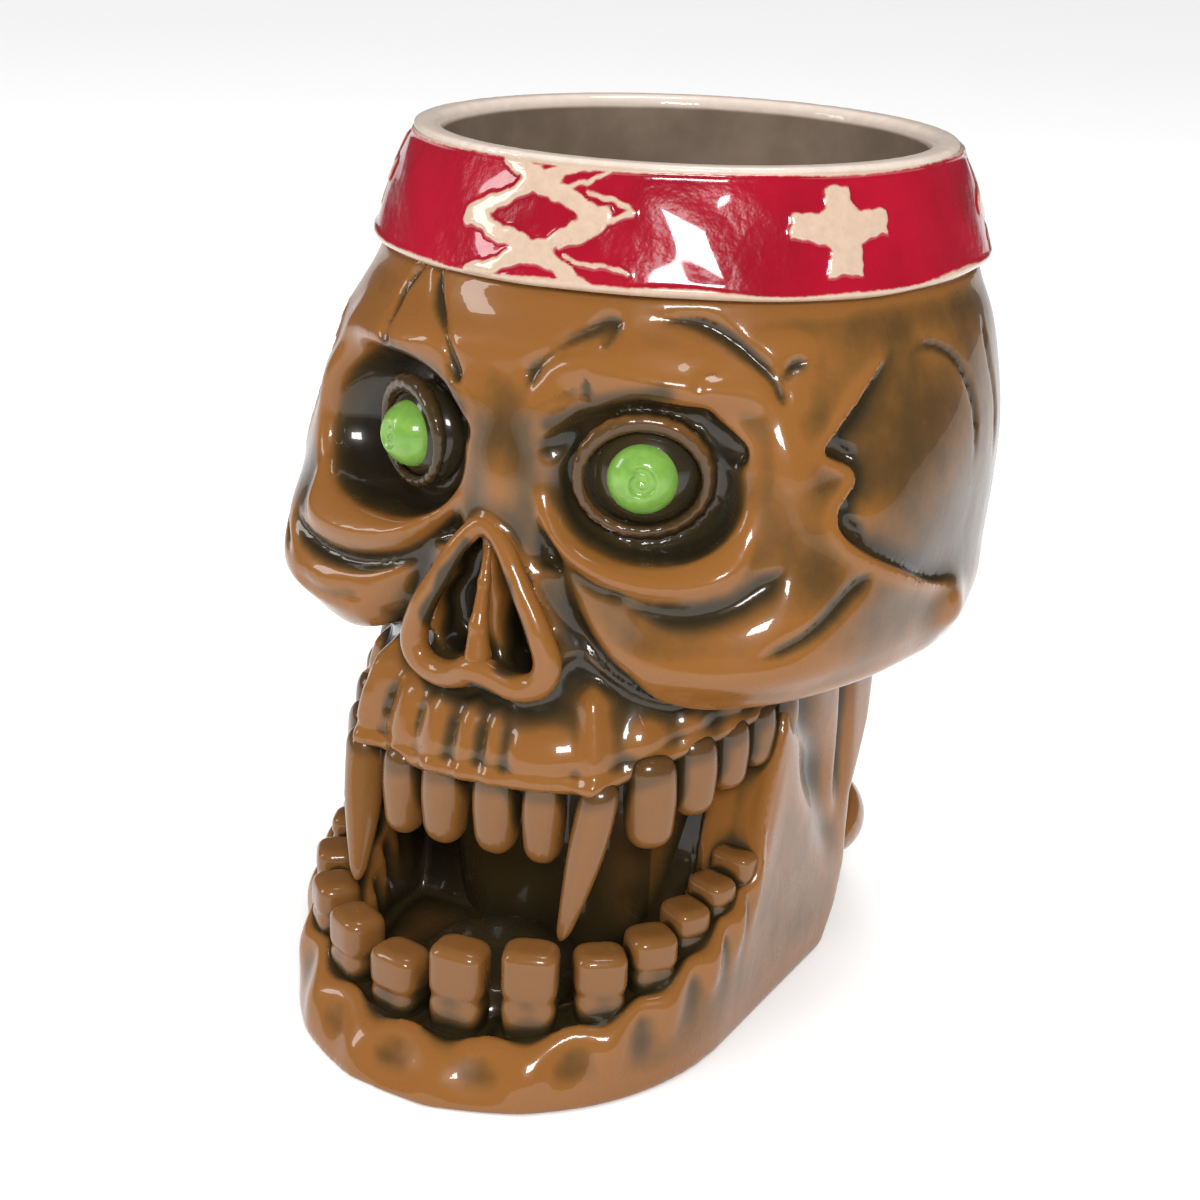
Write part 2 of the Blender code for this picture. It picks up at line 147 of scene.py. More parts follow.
def ball(centre, radii, turn=0.0):
    """An ellipsoid. Turn swings its x axis round z, in degrees."""
    cx, cy, cz = centre
    rx, ry, rz = radii
    c, s = math.cos(math.radians(turn)), math.sin(math.radians(turn))
    reach = max(radii)

    def distance(x, y, z):
        dx, dy, dz = x - cx, y - cy, z - cz
        u, v = (dx * c + dy * s) / rx, (-dx * s + dy * c) / ry
        w = dz / rz
        k0 = np.sqrt(u * u + v * v + w * w) + 1e-6
        k1 = np.sqrt((u / rx) ** 2 + (v / ry) ** 2 + (w / rz) ** 2) + 1e-6
        return k0 * (k0 - 1.0) / k1

    low = [c0 - reach for c0 in centre]
    high = [c0 + reach for c0 in centre]
    return Shape(distance, low, high)


def rod(start, end, r_start, r_end):
    """A round rod whose radius changes evenly from one end to the other, with round ends."""
    a = np.array(start, float)
    run = np.array(end, float) - a
    length2 = float(run @ run) + 1e-9

    def distance(x, y, z):
        t = ((x - a[0]) * run[0] + (y - a[1]) * run[1] + (z - a[2]) * run[2]) / length2
        t = np.clip(t, 0.0, 1.0)
        gap = np.sqrt(
            (x - a[0] - t * run[0]) ** 2 + (y - a[1] - t * run[1]) ** 2 + (z - a[2] - t * run[2]) ** 2
        )
        return gap - (r_start + (r_end - r_start) * t)

    reach = max(r_start, r_end)
    low = [min(p, q) - reach for p, q in zip(start, end)]
    high = [max(p, q) + reach for p, q in zip(start, end)]
    return Shape(distance, low, high)


def chain(points, radii, k=0.6):
    """A bent rod through a list of points."""
    rods = [rod(p, q, r, s) for p, q, r, s in zip(points, points[1:], radii, radii[1:])]

    def distance(x, y, z):
        total = rods[0].distance(x, y, z)
        for piece in rods[1:]:
            total = smooth_min(total, piece.distance(x, y, z), k)
        return total

    low = [min(r.low[i] for r in rods) for i in range(3)]
    high = [max(r.high[i] for r in rods) for i in range(3)]
    return Shape(distance, low, high)


def curve_points(corners, count, closed=False):
    """Points spread along a smooth curve through the corners."""
    pts = np.array(corners, float)
    if closed:
        pts = np.vstack([pts[-1], pts, pts[0], pts[1]])
    else:
        pts = np.vstack([2 * pts[0] - pts[1], pts, 2 * pts[-1] - pts[-2]])
    spans = len(pts) - 3
    out = []
    for value in np.linspace(0.0, spans, count, endpoint=not closed):
        i = min(int(value), spans - 1)
        t = value - i
        a, b, c, d = pts[i : i + 4]
        out.append(
            0.5 * (2 * b + (c - a) * t + (2 * a - 5 * b + 4 * c - d) * t**2 + (3 * b - a - 3 * c + d) * t**3)
        )
    return np.array(out)


# ========== Skinning a field ==========
def skin(field):
    """Surface nets: one point in each cell that the surface crosses, and a quad over each crossed edge."""
    f = field.f
    inside = f < 0.0
    total = np.zeros([n - 1 for n in f.shape], dtype=np.int8)
    corners = list(product((0, 1), repeat=3))
    nx, ny, nz = f.shape
    for i, j, k in corners:
        total += inside[i : nx - 1 + i, j : ny - 1 + j, k : nz - 1 + k]
    cells = np.argwhere((total > 0) & (total < 8))
    index = np.full(total.shape, -1, dtype=np.int32)
    index[tuple(cells.T)] = np.arange(len(cells), dtype=np.int32)
    values = np.stack([f[cells[:, 0] + i, cells[:, 1] + j, cells[:, 2] + k] for i, j, k in corners], 1)
    place = np.array(corners, dtype=np.float32)
    sums = np.zeros((len(cells), 3), dtype=np.float32)
    hits = np.zeros(len(cells), dtype=np.float32)
    for a in range(8):
        for b in range(a + 1, 8):
            if np.abs(place[a] - place[b]).sum() != 1:
                continue
            va, vb = values[:, a], values[:, b]
            crossed = (va < 0) != (vb < 0)
            t = np.where(crossed, va / np.where(crossed, va - vb, 1.0), 0.0)[:, None]
            sums += np.where(crossed[:, None], place[a] + (place[b] - place[a]) * t, 0.0)
            hits += crossed
    points = cells + sums / hits[:, None]
    origin = np.array([axis[0] for axis in field.axes], dtype=np.float32)
    points = origin + points * field.cell
    quads = []
    for axis in range(3):
        u, v = (axis + 1) % 3, (axis + 2) % 3
        here = [slice(None)] * 3
        there = [slice(None)] * 3
        here[axis], there[axis] = slice(0, -1), slice(1, None)
        for side in (u, v):
            here[side] = there[side] = slice(1, -1)
        a, b = inside[tuple(here)], inside[tuple(there)]
        for leaving in (True, False):
            at = np.argwhere(a & ~b if leaving else ~a & b)
            at[:, u] += 1
            at[:, v] += 1
            ring = []
            for du, dv in ((0, 0), (-1, 0), (-1, -1), (0, -1)):
                cell = at.copy()
                cell[:, u] += du
                cell[:, v] += dv
                ring.append(index[tuple(cell.T)])
            ring = np.stack(ring if leaving else ring[::-1], 1)
            quads.append(ring)
    return points, np.concatenate(quads)


def relax(points, quads, rounds=2):
    """Evens out the skin by moving each point towards its neighbours and back again, which keeps its size."""
    pairs = np.concatenate([quads[:, [0, 1]], quads[:, [1, 2]], quads[:, [2, 3]], quads[:, [3, 0]]])
    count = np.bincount(pairs[:, 0], minlength=len(points)) + np.bincount(pairs[:, 1], minlength=len(points))
    for step in (0.5, -0.52) * rounds:
        mean = np.empty_like(points)
        for axis in range(3):
            total = np.bincount(pairs[:, 0], weights=points[pairs[:, 1], axis], minlength=len(points))
            total += np.bincount(pairs[:, 1], weights=points[pairs[:, 0], axis], minlength=len(points))
            mean[:, axis] = total / count
        points = points + step * (mean - points)
    return points


# ========== The head's outside as a map of its distance from the axis, by angle and height ==========
# Height, half width, front, back, squareness of the face
HEAD_SECTIONS = np.array(
    (
        (44, 38.5, 62, 40, 2.1),
        (52, 40.5, 61.5, 41, 2.1),
        (58, 45, 60.5, 43, 2.3),
        (64, 54.5, 60, 47, 2.9),
        (72, 58.5, 60, 52, 3.3),
        (82, 59, 59.8, 56.5, 3.3),
        (92, 59.5, 59.5, 59, 2.9),
        (102, 59.5, 59, 60, 2.45),
        (112, 58.2, 58.3, 59, 2.2),
        (121, 56.2, 56.5, 56.5, 2.05),
        (127, 53.8, 53.8, 54, 2),
        (132, 52.4, 52.4, 52.6, 2),
    )
)


def read_sections(table, z):
    """Reads the rows of a table at any height, smoothly from row to row."""
    heights = table[:, 0]
    values = table[:, 1:]
    z = np.clip(z, heights[0], heights[-1])
    slopes = np.gradient(values, heights, axis=0)
    row = np.clip(np.searchsorted(heights, z) - 1, 0, len(heights) - 2)
    step = (heights[row + 1] - heights[row])[:, None]
    t = (z - heights[row])[:, None] / step
    start = (1 + 2 * t) * (1 - t) ** 2 * values[row] + t * (1 - t) ** 2 * step * slopes[row]
    end = t * t * (3 - 2 * t) * values[row + 1] + t * t * (t - 1) * step * slopes[row + 1]
    return start + end


def oval_radius(angle, half_width, front, back, squareness):
    turn = np.radians(angle)
    side, along = np.abs(np.sin(turn)), np.cos(turn)
    depth = np.where(along > 0, front, back)
    power = np.where(along > 0, squareness, 2.0)
    return ((side / half_width) ** power + (np.abs(along) / depth) ** power) ** (-1.0 / power)


def path_distance(u, z, points):
    """Distance to an open path on the unrolled face, which side of it a point is on, and how far along."""
    best = np.full(np.broadcast(u, z).shape, 1e6)
    side = np.zeros_like(best)
    along = np.zeros_like(best)
    spans = len(points) - 1
    for i in range(spans):
        a, b = points[i], points[i + 1]
        run = b - a
        t = np.clip(((u - a[0]) * run[0] + (z - a[1]) * run[1]) / (run @ run + 1e-9), 0.0, 1.0)
        du, dz = u - a[0] - t * run[0], z - a[1] - t * run[1]
        gap = np.hypot(du, dz)
        closer = gap < best
        best = np.where(closer, gap, best)
        side = np.where(closer, np.sign(run[0] * dz - run[1] * du), side)
        along = np.where(closer, (i + t) / spans, along)
    return best, side, along


class FaceMap:
    """The head's radius over angle and height, with strokes carved into it or raised on it."""

    def __init__(self, heights):
        self.angles = np.arange(-180.0, 180.0 + MAP_STEP, MAP_STEP)
        self.z = np.asarray(heights, float)
        sections = read_sections(HEAD_SECTIONS, self.z)
        self.r = oval_radius(self.angles[:, None], *[sections[None, :, i] for i in range(4)])

    def near(self, angles, heights, pad):
        pad_angle = pad / UNROLL
        rows = np.flatnonzero(
            (self.angles > min(angles) - pad_angle) & (self.angles < max(angles) + pad_angle)
        )
        cols = np.flatnonzero((self.z > min(heights) - pad) & (self.z < max(heights) + pad))
        if len(rows) == 0 or len(cols) == 0:
            return None
        return slice(rows[0], rows[-1] + 1), slice(cols[0], cols[-1] + 1)

    def mound(self, angle, z, half_width, half_height, lift, tilt=0.0, power=2.0):
        """Lifts a soft oval. Tilt turns it on the face, in degrees."""
        reach = 2.6 * max(half_width, half_height)
        cuts = self.near([angle], [z], reach)
        if cuts is None:
            return
        du = (self.angles[cuts[0]][:, None] - angle) * UNROLL
        dz = self.z[cuts[1]][None, :] - z
        c, s = math.cos(math.radians(tilt)), math.sin(math.radians(tilt))
        u, v = (du * c + dz * s) / half_width, (-du * s + dz * c) / half_height
        self.r[cuts] += lift * np.exp(-((u * u + v * v) ** (power / 2.0)))

    def along_path(self, points, count, reach, taper):
        """The part of the map near a curve: its distance, its side and a weight that fades at the ends."""
        path = curve_points(points, count)
        cuts = self.near(path[:, 0], path[:, 1], reach)
        if cuts is None:
            return None
        path[:, 0] *= UNROLL
        u = self.angles[cuts[0]][:, None] * UNROLL
        gap, side, along = path_distance(u, self.z[cuts[1]][None, :], path)
        return cuts, gap, side, smooth_step(0.0, taper, along) * smooth_step(0.0, taper, 1.0 - along)

    def stroke(self, points, width, lift, count=24, taper=0.25):
        """Raises a rounded ridge, or carves a groove where lift is negative, along a curve of (angle, z)."""
        found = self.along_path(points, count, 3.0 * width, taper)
        if found is None:
            return
        cuts, gap, _, ends = found
        size = 0.35 + 0.65 * ends
        self.r[cuts] += lift * ends * np.exp(-((gap / (width * size)) ** 2))

    def ledge(self, points, lift, edge, reach, count=40, taper=0.15):
        """Raises the ground on the left of a path into a lip that drops sharply on the path's right."""
        found = self.along_path(points, count, 2.5 * reach, taper)
        if found is None:
            return
        cuts, gap, side, ends = found
        signed = gap * side
        rise = smooth_step(-edge, edge, signed) - 0.5
        self.r[cuts] += lift * ends * rise * np.exp(-np.abs(signed) / reach)

    def both(self, tool, points, *sizes, **options):
        """Uses a stroke or ledge on both sides of the face. A ledge's mirror image runs the other way."""
        mirrored = [(-angle, z) for angle, z in points]
        if tool == "ledge":
            mirrored = mirrored[::-1]
        getattr(self, tool)(points, *sizes, **options)
        getattr(self, tool)(mirrored, *sizes, **options)


# ========== Eyes ==========
EYE_ANGLE = 23.0
EYE_Z = 101.8
# By side, 1 for the skull's left: middle, radii and squareness of the hollow round the eye
SOCKETS = {
    -1: ((2.9, 0.0, 61.0), (19.0, 13.8, 13.5), 2.3),
    1: ((0.2, 0.0, 61.5), (16.6, 12.9, 9.4), 2.2),
}
LID_SIZES = {-1: (9.6, 8.2), 1: (10.4, 8.9)}
LID_DEPTH = 56.8
LID_CREASE = ((-14.5, 4.4), (-9.0, 7.6), (0.0, 10.0), (8.5, 9.6), (14.5, 5.5))
EYEBALL_DEPTH = 53.2
EYEBALL_RADII = (9.4, 5.4, 8.8)
IRIS_FORWARD = 2.9
# By side: radii of the iris, and how far out its whirl is pressed
IRIS_DOMES = {-1: ((5.9, 6.0, 5.8), 62.1), 1: ((6.0, 4.6, 6.0), 60.7)}


def heading_of(x, y):
    """The angle round the cup at which a point stands."""
    return np.degrees(np.arctan2(x, -y))


def polar(angle, radius, z):
    turn = math.radians(angle)
    return np.array((radius * math.sin(turn), -radius * math.cos(turn), z))


class EyeFrame:
    """Places round an eye: u outward across the face, v up and w along the line of sight from the axis."""

    def __init__(self, side):
        turn = math.radians(side * EYE_ANGLE)
        self.sight = np.array((math.sin(turn), -math.cos(turn), 0.0))
        self.across = side * np.array((math.cos(turn), math.sin(turn), 0.0))

    def place(self, u, v, w):
        return tuple(self.across * u + self.sight * w + np.array((0.0, 0.0, EYE_Z + v)))

    def solid(self, middle, radii, power):
        """An oval solid round the middle, rounded towards a box as the power grows."""
        centre = self.place(*middle)
        a, b, c = radii

        def distance(x, y, z):
            dx, dy, dz = x - centre[0], y - centre[1], z - centre[2]
            u = np.abs(dx * self.across[0] + dy * self.across[1]) / a
            v = np.abs(dz) / b
            w = np.abs(dx * self.sight[0] + dy * self.sight[1]) / c
            ring = (u**power + v**power) ** (1.0 / power)
            k0 = np.sqrt(ring * ring + w * w) + 1e-6
            k1 = np.sqrt((ring / min(a, b)) ** 2 + (w / c) ** 2) + 1e-6
            return k0 * (k0 - 1.0) / k1

        reach = max(radii)
        return Shape(distance, [v - reach for v in centre], [v + reach for v in centre])


def socket(side, grow=0.0):
    """The hollow round an eye. The right one is wider and deeper."""
    middle, radii, power = SOCKETS[side]
    return EyeFrame(side).solid(middle, [size + grow for size in radii], power)


def eye_ring(side):
    """The rolled lid round one eye, thicker above."""
    eye = EyeFrame(side)
    width, height = LID_SIZES[side]
    ring, radii = [], []
    for turn in np.linspace(0.0, 2 * math.pi, 25):
        rise = max(math.sin(turn), 0.0)
        depth = LID_DEPTH - 0.9 * math.cos(turn)
        ring.append(eye.place(width * math.cos(turn), height * math.sin(turn) + 0.4 * rise, depth))
        radii.append(0.95 + 0.6 * rise)
    return chain(ring, radii)


def cut_sockets(field):
    """A bowl round each eye, with the eye's own boss and its lid standing in the middle of it."""
    for side in (-1, 1):
        eye = EyeFrame(side)
        field.cut(socket(side), 2.4)
        crease = [eye.place(u, v, LID_DEPTH + 0.7) for u, v in LID_CREASE]
        field.cut(chain(crease, [1.9, 2.5, 2.8, 2.7, 2.1]), 1.8)
        field.join(rod(eye.place(0.0, 0.0, 44.0), eye.place(0.0, 0.0, 46.6), 12.0, 9.8), 4.5)
        field.join(eye_ring(side), 1.8)


def iris_field(side, centre):
    """A domed iris with a small whirl pressed into its middle."""
    radii, depth = IRIS_DOMES[side]
    dome = ball(centre, radii, turn=side * EYE_ANGLE)
    field = Field([v - 1.0 for v in dome.low], [v + 1.0 for v in dome.high], TOOTH_CELL * 0.6)
    field.join(dome)
    eye = EyeFrame(side)
    whirl = []
    for step in np.linspace(0.0, 1.0, 26):
        turn, reach = step * 2.6 * math.pi, 0.5 + 1.7 * step
        whirl.append(eye.place(reach * math.cos(turn), reach * math.sin(turn), depth - 0.08 * reach * reach))
    field.cut(chain(whirl, [0.6] * len(whirl)), 0.3)
    return field


# ========== Face ==========
# Width, lift, tapered share of each end and the line itself, as (angle, height)
FACE_FOLDS = (
    # roll under each eye, and the folds of the cheeks
    (2.1, 2, 0.25, ((6, 100), (8.6, 95), (12.8, 90), (20.7, 86.8), (29.5, 87.2), (36.3, 90.4), (39.6, 96.5))),
    (2.8, 2.2, 0.25, ((-8, 97), (-12, 90.5), (-20, 86), (-29, 84.8), (-37, 87), (-41.5, 94))),
    (0.9, -0.7, 0.25, ((11, 88), (17, 84.6), (24, 83.8))),
    (1.9, -1.6, 0.25, ((20.5, 83), (29, 81.8), (35.5, 83.6), (40.5, 87), (44.5, 91))),
    (1.5, -2.2, 0.25, ((-43, 84.5), (-38, 80.5), (-30, 79), (-24, 79.6), (-17.5, 82.6), (-11.5, 88.5))),
    (1.4, -1, 0.25, ((-38, 74), (-31, 72.6), (-22.5, 74.4))),
    # trench between the nose and each cheek
    (2.2, -3.6, 0.2, ((7, 95), (9, 87), (12, 79.5), (16, 73.8), (21.5, 69.4), (28, 65.8))),
    (3.4, -5.4, 0.2, ((-8, 95), (-11.5, 85), (-15, 77), (-19, 70.5), (-24, 65.5))),
)
FACE_PAIRS = (
    (1.3, -1, 0.25, ((52, 109), (54, 107), (55.8, 105.5))),
    (1.4, -1.2, 0.25, ((53.8, 100), (53.6, 96.5), (57, 92.8))),
    # upper edge of the temple, a shallow double line that runs to the back of the head
    (0.8, -0.8, 0.25, ((68, 121), (76, 121), (83, 116.5), (86.5, 108), (85, 98))),
    (0.9, -0.7, 0.25, ((97, 124), (96.5, 117), (99, 108), (97, 96))),
    # the groove along the top of the cheekbone's arch
    (1.2, -1.2, 0.25, ((38, 76), (46, 80), (53, 85.5), (58, 89))),
)
FOREHEAD_CRACKS = (
    # cracks and creases of the forehead, no two alike
    (0.8, -1.2, 0.05, ((-26, 130.5), (-29.8, 124), (-25, 117))),
    (1, -1.6, 0.05, ((-22, 130.5), (-19, 125), (-13, 120), (-9, 113.5))),
    (1.7, -1.5, 0.25, ((19, 128), (14.6, 125), (8.4, 121.4), (4.6, 118), (4, 113.5))),
    (1, -0.9, 0.25, ((18, 127.4), (16.8, 123.8), (14.6, 121.4))),
    (0.6, -0.8, 0.1, ((13, 119.2), (14.3, 114))),
    (1.3, -1.7, 0.25, ((21, 127.2), (31, 126.4), (37, 123.7), (41.5, 120), (43.7, 116), (43.4, 113.6))),
    (0.9, -1.1, 0.25, ((43.9, 117.6), (45.8, 120.2), (49, 121.4))),
    (0.7, -0.8, 0.25, ((35.5, 120.2), (31.5, 119.2), (30.5, 116.4))),
)


def carve_face(face):
    """Everything on the head that can be raised or carved straight out from the axis."""
    for side in (-1, 1):
        # brow ridges, and the bone outside the eyes
        face.mound(side * 26, 118.4, 18, 3.2, 3, tilt=side * -5)
        face.mound(side * 44.5, 107, 4.6, 10, 2.4, tilt=side * 10)
        face.mound(side * 7, 112, 5, 5, 1)
        # cheekbones
        face.mound(side * 42, 79, 17, 7, 3.2, tilt=side * 12)
        face.mound(side * 36, 72.5, 15, 4, 2.6, tilt=side * 4)
        # bulge of the temple
        face.mound(side * 76, 103, 19, 15, 1.2)
        # knob where the cheekbone's arch ends above the jaw's hinge
        face.mound(side * 82, 74.5, 6, 5, 3)
    face.mound(0, 99, 4.6, 8, 2)
    for width, lift, taper, points in FACE_FOLDS:
        face.stroke(points, width, lift, taper=taper)
    # edge of the cheekbone and brow that stands over the temple
    temple = [(66, 122.5), (58.5, 116.5), (52, 110), (50.2, 107.6), (54.6, 105), (54.9, 102.5)]
    temple += [(52.2, 99), (52, 96), (55.5, 92), (63, 87.5), (74, 82), (86, 79)]
    face.both("ledge", temple, -3.6, 0.6, 3.4, taper=0.12)
    for width, lift, taper, points in FACE_PAIRS:
        face.both("stroke", points, width, lift, taper=taper)
    for width, lift, taper, points in FOREHEAD_CRACKS:
        face.stroke(points, width, lift, taper=taper)
    face.mound(45, 123.6, 5.6, 2.3, 0.9, power=3)


GUM_LINE = ((-180, 60), (-90, 60), (-50, 55), (-34, 50), (-24, 46), (-12, 46.4), (-1, 48))
GUM_LINE += ((13, 48.6), (20, 48.8), (25, 52), (33, 54.4), (44, 56.5), (60, 59), (90, 62), (180, 62))
CHEEK_UNDER = ((0, 60), (8, 63), (12, 74), (18.5, 70.5), (26, 66.5), (33, 64.6), (42, 65.6))
CHEEK_UNDER += ((55, 67), (70, 66.5), (88, 64), (105, 60), (130, 52), (180, 48))


def read_line(line, angle):
    """Reads a height round the head. A line that starts at nought is the same on both sides."""
    table = np.array(line)
    if table[0, 0] == 0.0:
        angle = np.abs(angle)
    smooth = [np.interp(angle + shift, table[:, 0], table[:, 1]) for shift in (-4.0, -2.0, 0.0, 2.0, 4.0)]
    return sum(smooth) / len(smooth)


# Angle, height, width and lift of the swelling over each cheek tooth's root
CHEEK_ROOTS = ((26, 58, 3.6, 1.8), (33.5, 60, 3.2, 1.7), (40.5, 61.5, 2.8, 1.6), (48, 62.5, 2.4, 1.5))


def carve_jaw_front(face):
    """The upper jaw: root ridges over the teeth, the rolled edge of the gum and the hollow under the nose."""
    face.stroke([(-26, 64.5), (-12, 64), (0, 62.5), (8, 62.5)], 2.4, -1.6)
    for angle, width, lift in ((-14.6, 3, 1.5), (-7.2, 2.4, 1.2), (-1.4, 1.4, 0.9), (3.2, 1.2, 0.7)):
        face.stroke([(angle * 1.02, 47), (angle, 55), (angle * 0.93, 64)], width, lift, taper=0.2)
    face.mound(10.5, 55.5, 5.6, 5.4, 1.7, power=4)
    face.mound(10.5, 62, 4.6, 4.2, -1)
    for angle in (-18.8, -10.8, -4.2, 1, 5.4):
        face.stroke([(angle * 1.02, 50.5), (angle, 56), (angle * 0.95, 61)], 1.1, -0.6, taper=0.4)
    face.stroke([(-23.4, 44), (-23, 54), (-21.6, 68)], 3, 4.6, taper=0.2)
    face.stroke([(18.6, 47), (18.6, 57), (16.8, 69)], 2.4, 2.8, taper=0.2)
    for angle, z, width, lift in CHEEK_ROOTS:
        face.mound(angle, z, width, 4, lift, power=2.6)
        face.stroke(
            [(-angle - 3, z - 11), (-angle - 2.4, z - 4), (-angle, z + 4)],
            width * 0.8, lift + 0.6, taper=0.25,
        )
    face.stroke([(13.6, 76), (17, 71.4), (22, 67.4), (28, 64.6), (36, 63.2)], 1, 1.8)
    edge = [(angle, float(read_line(GUM_LINE, angle)) + 1.8) for angle in np.linspace(-50, 50, 17)]
    face.stroke(edge, 1.5, 0.9, count=60, taper=0.05)
    raised = [(angle, z + 2.6) for angle, z in edge]
    face.stroke(raised, 0.9, -0.35, count=60, taper=0.05)


def spread(face, angle):
    """Reads a face map at each column of a grid."""
    column = (angle + 180.0) / MAP_STEP
    first = np.clip(column.astype(int), 0, len(face.angles) - 2)
    part = (column - first)[:, :, None]
    return (face.r[first] * (1.0 - part) + face.r[first + 1] * part).astype(np.float32)


def head_grid(field):
    """Fills a field with the head, the upper jaw, the neck and the shoulder under the band."""
    x, y, z = field.x, field.y, field.z
    rho = np.sqrt(x * x + y * y)[:, :, 0]
    angle = heading_of(x, y)[:, :, 0]
    face = FaceMap(field.axes[2])
    carve_face(face)
    head = (rho[:, :, None] - spread(face, angle)) * 0.93
    under = read_line(CHEEK_UNDER, angle)[:, :, None]
    head = smooth_max(head, (under - z) * 0.9, 2.6)
    head = smooth_max(head, z - (SHOULDER_Z + 0.4), 1.6)
    # upper jaw: a wide oval block between the cheeks whose underside is the gum line
    front = FaceMap(field.axes[2])
    swell = 1.0 - 0.10 * smooth_step(50.0, 74.0, front.z)[None, :]
    front.r = oval_radius(front.angles, 43.2, 67.0, 36.0, 2.3)[:, None] * swell
    carve_jaw_front(front)
    gum = read_line(GUM_LINE, angle)[:, :, None]
    jaw = (rho[:, :, None] - spread(front, angle)) * 0.95
    jaw = smooth_max(jaw, gum - z, 2.2)
    jaw = smooth_max(jaw, z - 86.0, 2.0)
    head = smooth_min(head, jaw, 1.6)
    # neck and the mouth's back wall
    neck_line = oval_radius(angle, *NECK_OUTSIDE)[:, :, None]
    neck = (rho[:, :, None] - neck_line) * 0.95
    neck = smooth_max(neck, z - 100.0, 1.0)
    head = smooth_min(head, neck, 2.5)
    collar = rho[:, :, None] - 47.0
    collar = np.maximum(collar, np.abs(z - 139.0) - 10.0)
    head = smooth_min(head, collar, 1.0)
    lip = np.maximum(rho[:, :, None] - (RIM_OUTER - 0.9), np.abs(z - (HEIGHT - 1.2)) - 0.3) - 0.9
    head = np.minimum(head, lip)
    field.f = head.astype(np.float32)
    return rho, angle


def cup_reach(heading, z):
    """The cavity's radius in the direction of a heading, narrow in the neck and round above it."""
    wide = smooth_step(66.0, 88.0, z)
    return oval_radius(heading, *NECK_INSIDE) * (1.0 - wide) + RIM_INNER * wide


def cup_cavity(z, rho, angle):
    """The room inside the cup, with a rounded rim above and a rounded corner at its floor."""
    rim = np.clip(z - (HEIGHT - RIM_ROUNDING), 0.0, RIM_ROUNDING)
    radius = cup_reach(angle[:, :, None], z) + 0.45 * rim**2
    return smooth_max(rho[:, :, None] - radius, CUP_FLOOR_Z - z, 5.0)


# ========== Nose ==========
# The rim round the nose opening, as (x, height)
NOSE_CREST = (
    (-2.2, 91.6), (2.6, 88.4), (6.8, 82), (10.2, 76), (11.8, 70.6), (10.2, 67), (6.2, 65.9), (1.8, 67.6),
    (-1.6, 67.8), (-4.6, 66), (-8.8, 65), (-13.2, 66.4), (-14.6, 70.4), (-12.6, 76), (-9.4, 82), (-6.2, 88),
)


def nose_front(z):
    """How far forward the nose's rim stands at each height."""
    return np.interp(z, (62.0, 68.0, 76.0, 86.0, 94.0), (-65.2, -66.8, -66.6, -64.2, -61.0))


def nose_ridge_shape(grow=0.0):
    points, radii = [], []
    for x, z in curve_points(NOSE_CREST, 80, closed=True):
        radius = 1.45 + 0.65 * float(smooth_step(90.0, 70.0, z))
        points.append((x, float(nose_front(z)) + radius + 0.012 * (x + 1.0) ** 2, z))
        radii.append(radius + grow)
    return chain(points + points[:1], radii + radii[:1], 0.8)


def nostril(side):
    """One nostril, a deep hole shaped like a drop."""
    if side > 0:
        middle, radii = [(-0.2, 89.4), (3.0, 82.6), (5.2, 75.0), (5.8, 71.6)], [1.1, 2.9, 4.3, 4.1]
    else:
        middle, radii = [(-4.4, 89.0), (-6.2, 82.0), (-8.0, 75.0), (-8.3, 71.6)], [1.1, 2.9, 4.2, 3.9]
    outer = chain([(x, 0.0, z) for x, z in middle], radii, 2.0)

    def distance(x, y, z):
        return smooth_max(outer.distance(x, 0.0 * y, z), y + 52.0, 2.0)

    low = [outer.low[0], -75.0, outer.low[2]]
    high = [outer.high[0], -51.0, outer.high[2]]
    return Shape(distance, low, high)


def septum_shape():
    middle = [(-2.2, -58.6, 89.5), (-1.6, -61.2, 82.0), (-1.3, -63.2, 75.0), (-0.8, -64.0, 69.5)]
    return chain(middle, [0.8, 1.0, 1.5, 2.4], 1.0)


# ========== Teeth ==========
def tooth_shape(
    centre, facing, width, depth, root_z, tip_z,
    lean=(0.0, 0.0), point=0.0, waist=0.0, power=3.0, rounding=0.9,
):
    """A tooth from its root to its tip. Point narrows the tip and waist pinches it under the crown."""
    cx, cy = centre
    c, s = math.cos(facing), math.sin(facing)
    span = tip_z - root_z
    a, b = width / 2.0, depth / 2.0

    def distance(x, y, z):
        t = np.clip((z - root_z) / span, 0.0, 1.0)
        dx = x - cx - lean[0] * t**1.3
        dy = y - cy - lean[1] * t**1.3
        u = dx * c + dy * s
        v = dx * s - dy * c
        size = (0.86 + 0.14 * smooth_step(0.0, 0.55, t)) * (1.0 - point * t**1.8)
        size = size - waist * np.exp(-(((t - 0.52) / 0.06) ** 2))
        ring = ((np.abs(u) / (a * size)) ** power + (np.abs(v) / (b * size)) ** power) ** (1.0 / power)
        body = (ring - 1.0) * min(a, b) * size
        ends = np.abs(z - (root_z + tip_z) / 2.0) - abs(span) / 2.0
        return smooth_max(body, ends, min(a, b) * rounding)

    reach = 0.75 * math.hypot(width, depth) + max(abs(lean[0]), abs(lean[1]))
    low = [cx - reach, cy - reach, min(root_z, tip_z) - 1.0]
    high = [cx + reach, cy + reach, max(root_z, tip_z) + 1.0]
    return Shape(distance, low, high)


def facing_from(x, y, centre_y):
    """The way that a tooth faces: out from a point on the midline."""
    return math.atan2(x, -(y - centre_y))


# Across from the midline, back to front, width, gum to tip
UPPER_MIDLINE = -1.9
UPPER_DEPTH = 8.6
INCISOR_LENGTH = 13.2
INCISORS = ((5.2, -63.6, 7.6), (14.0, -62.8, 6.6))
FANG_Y = -60.6
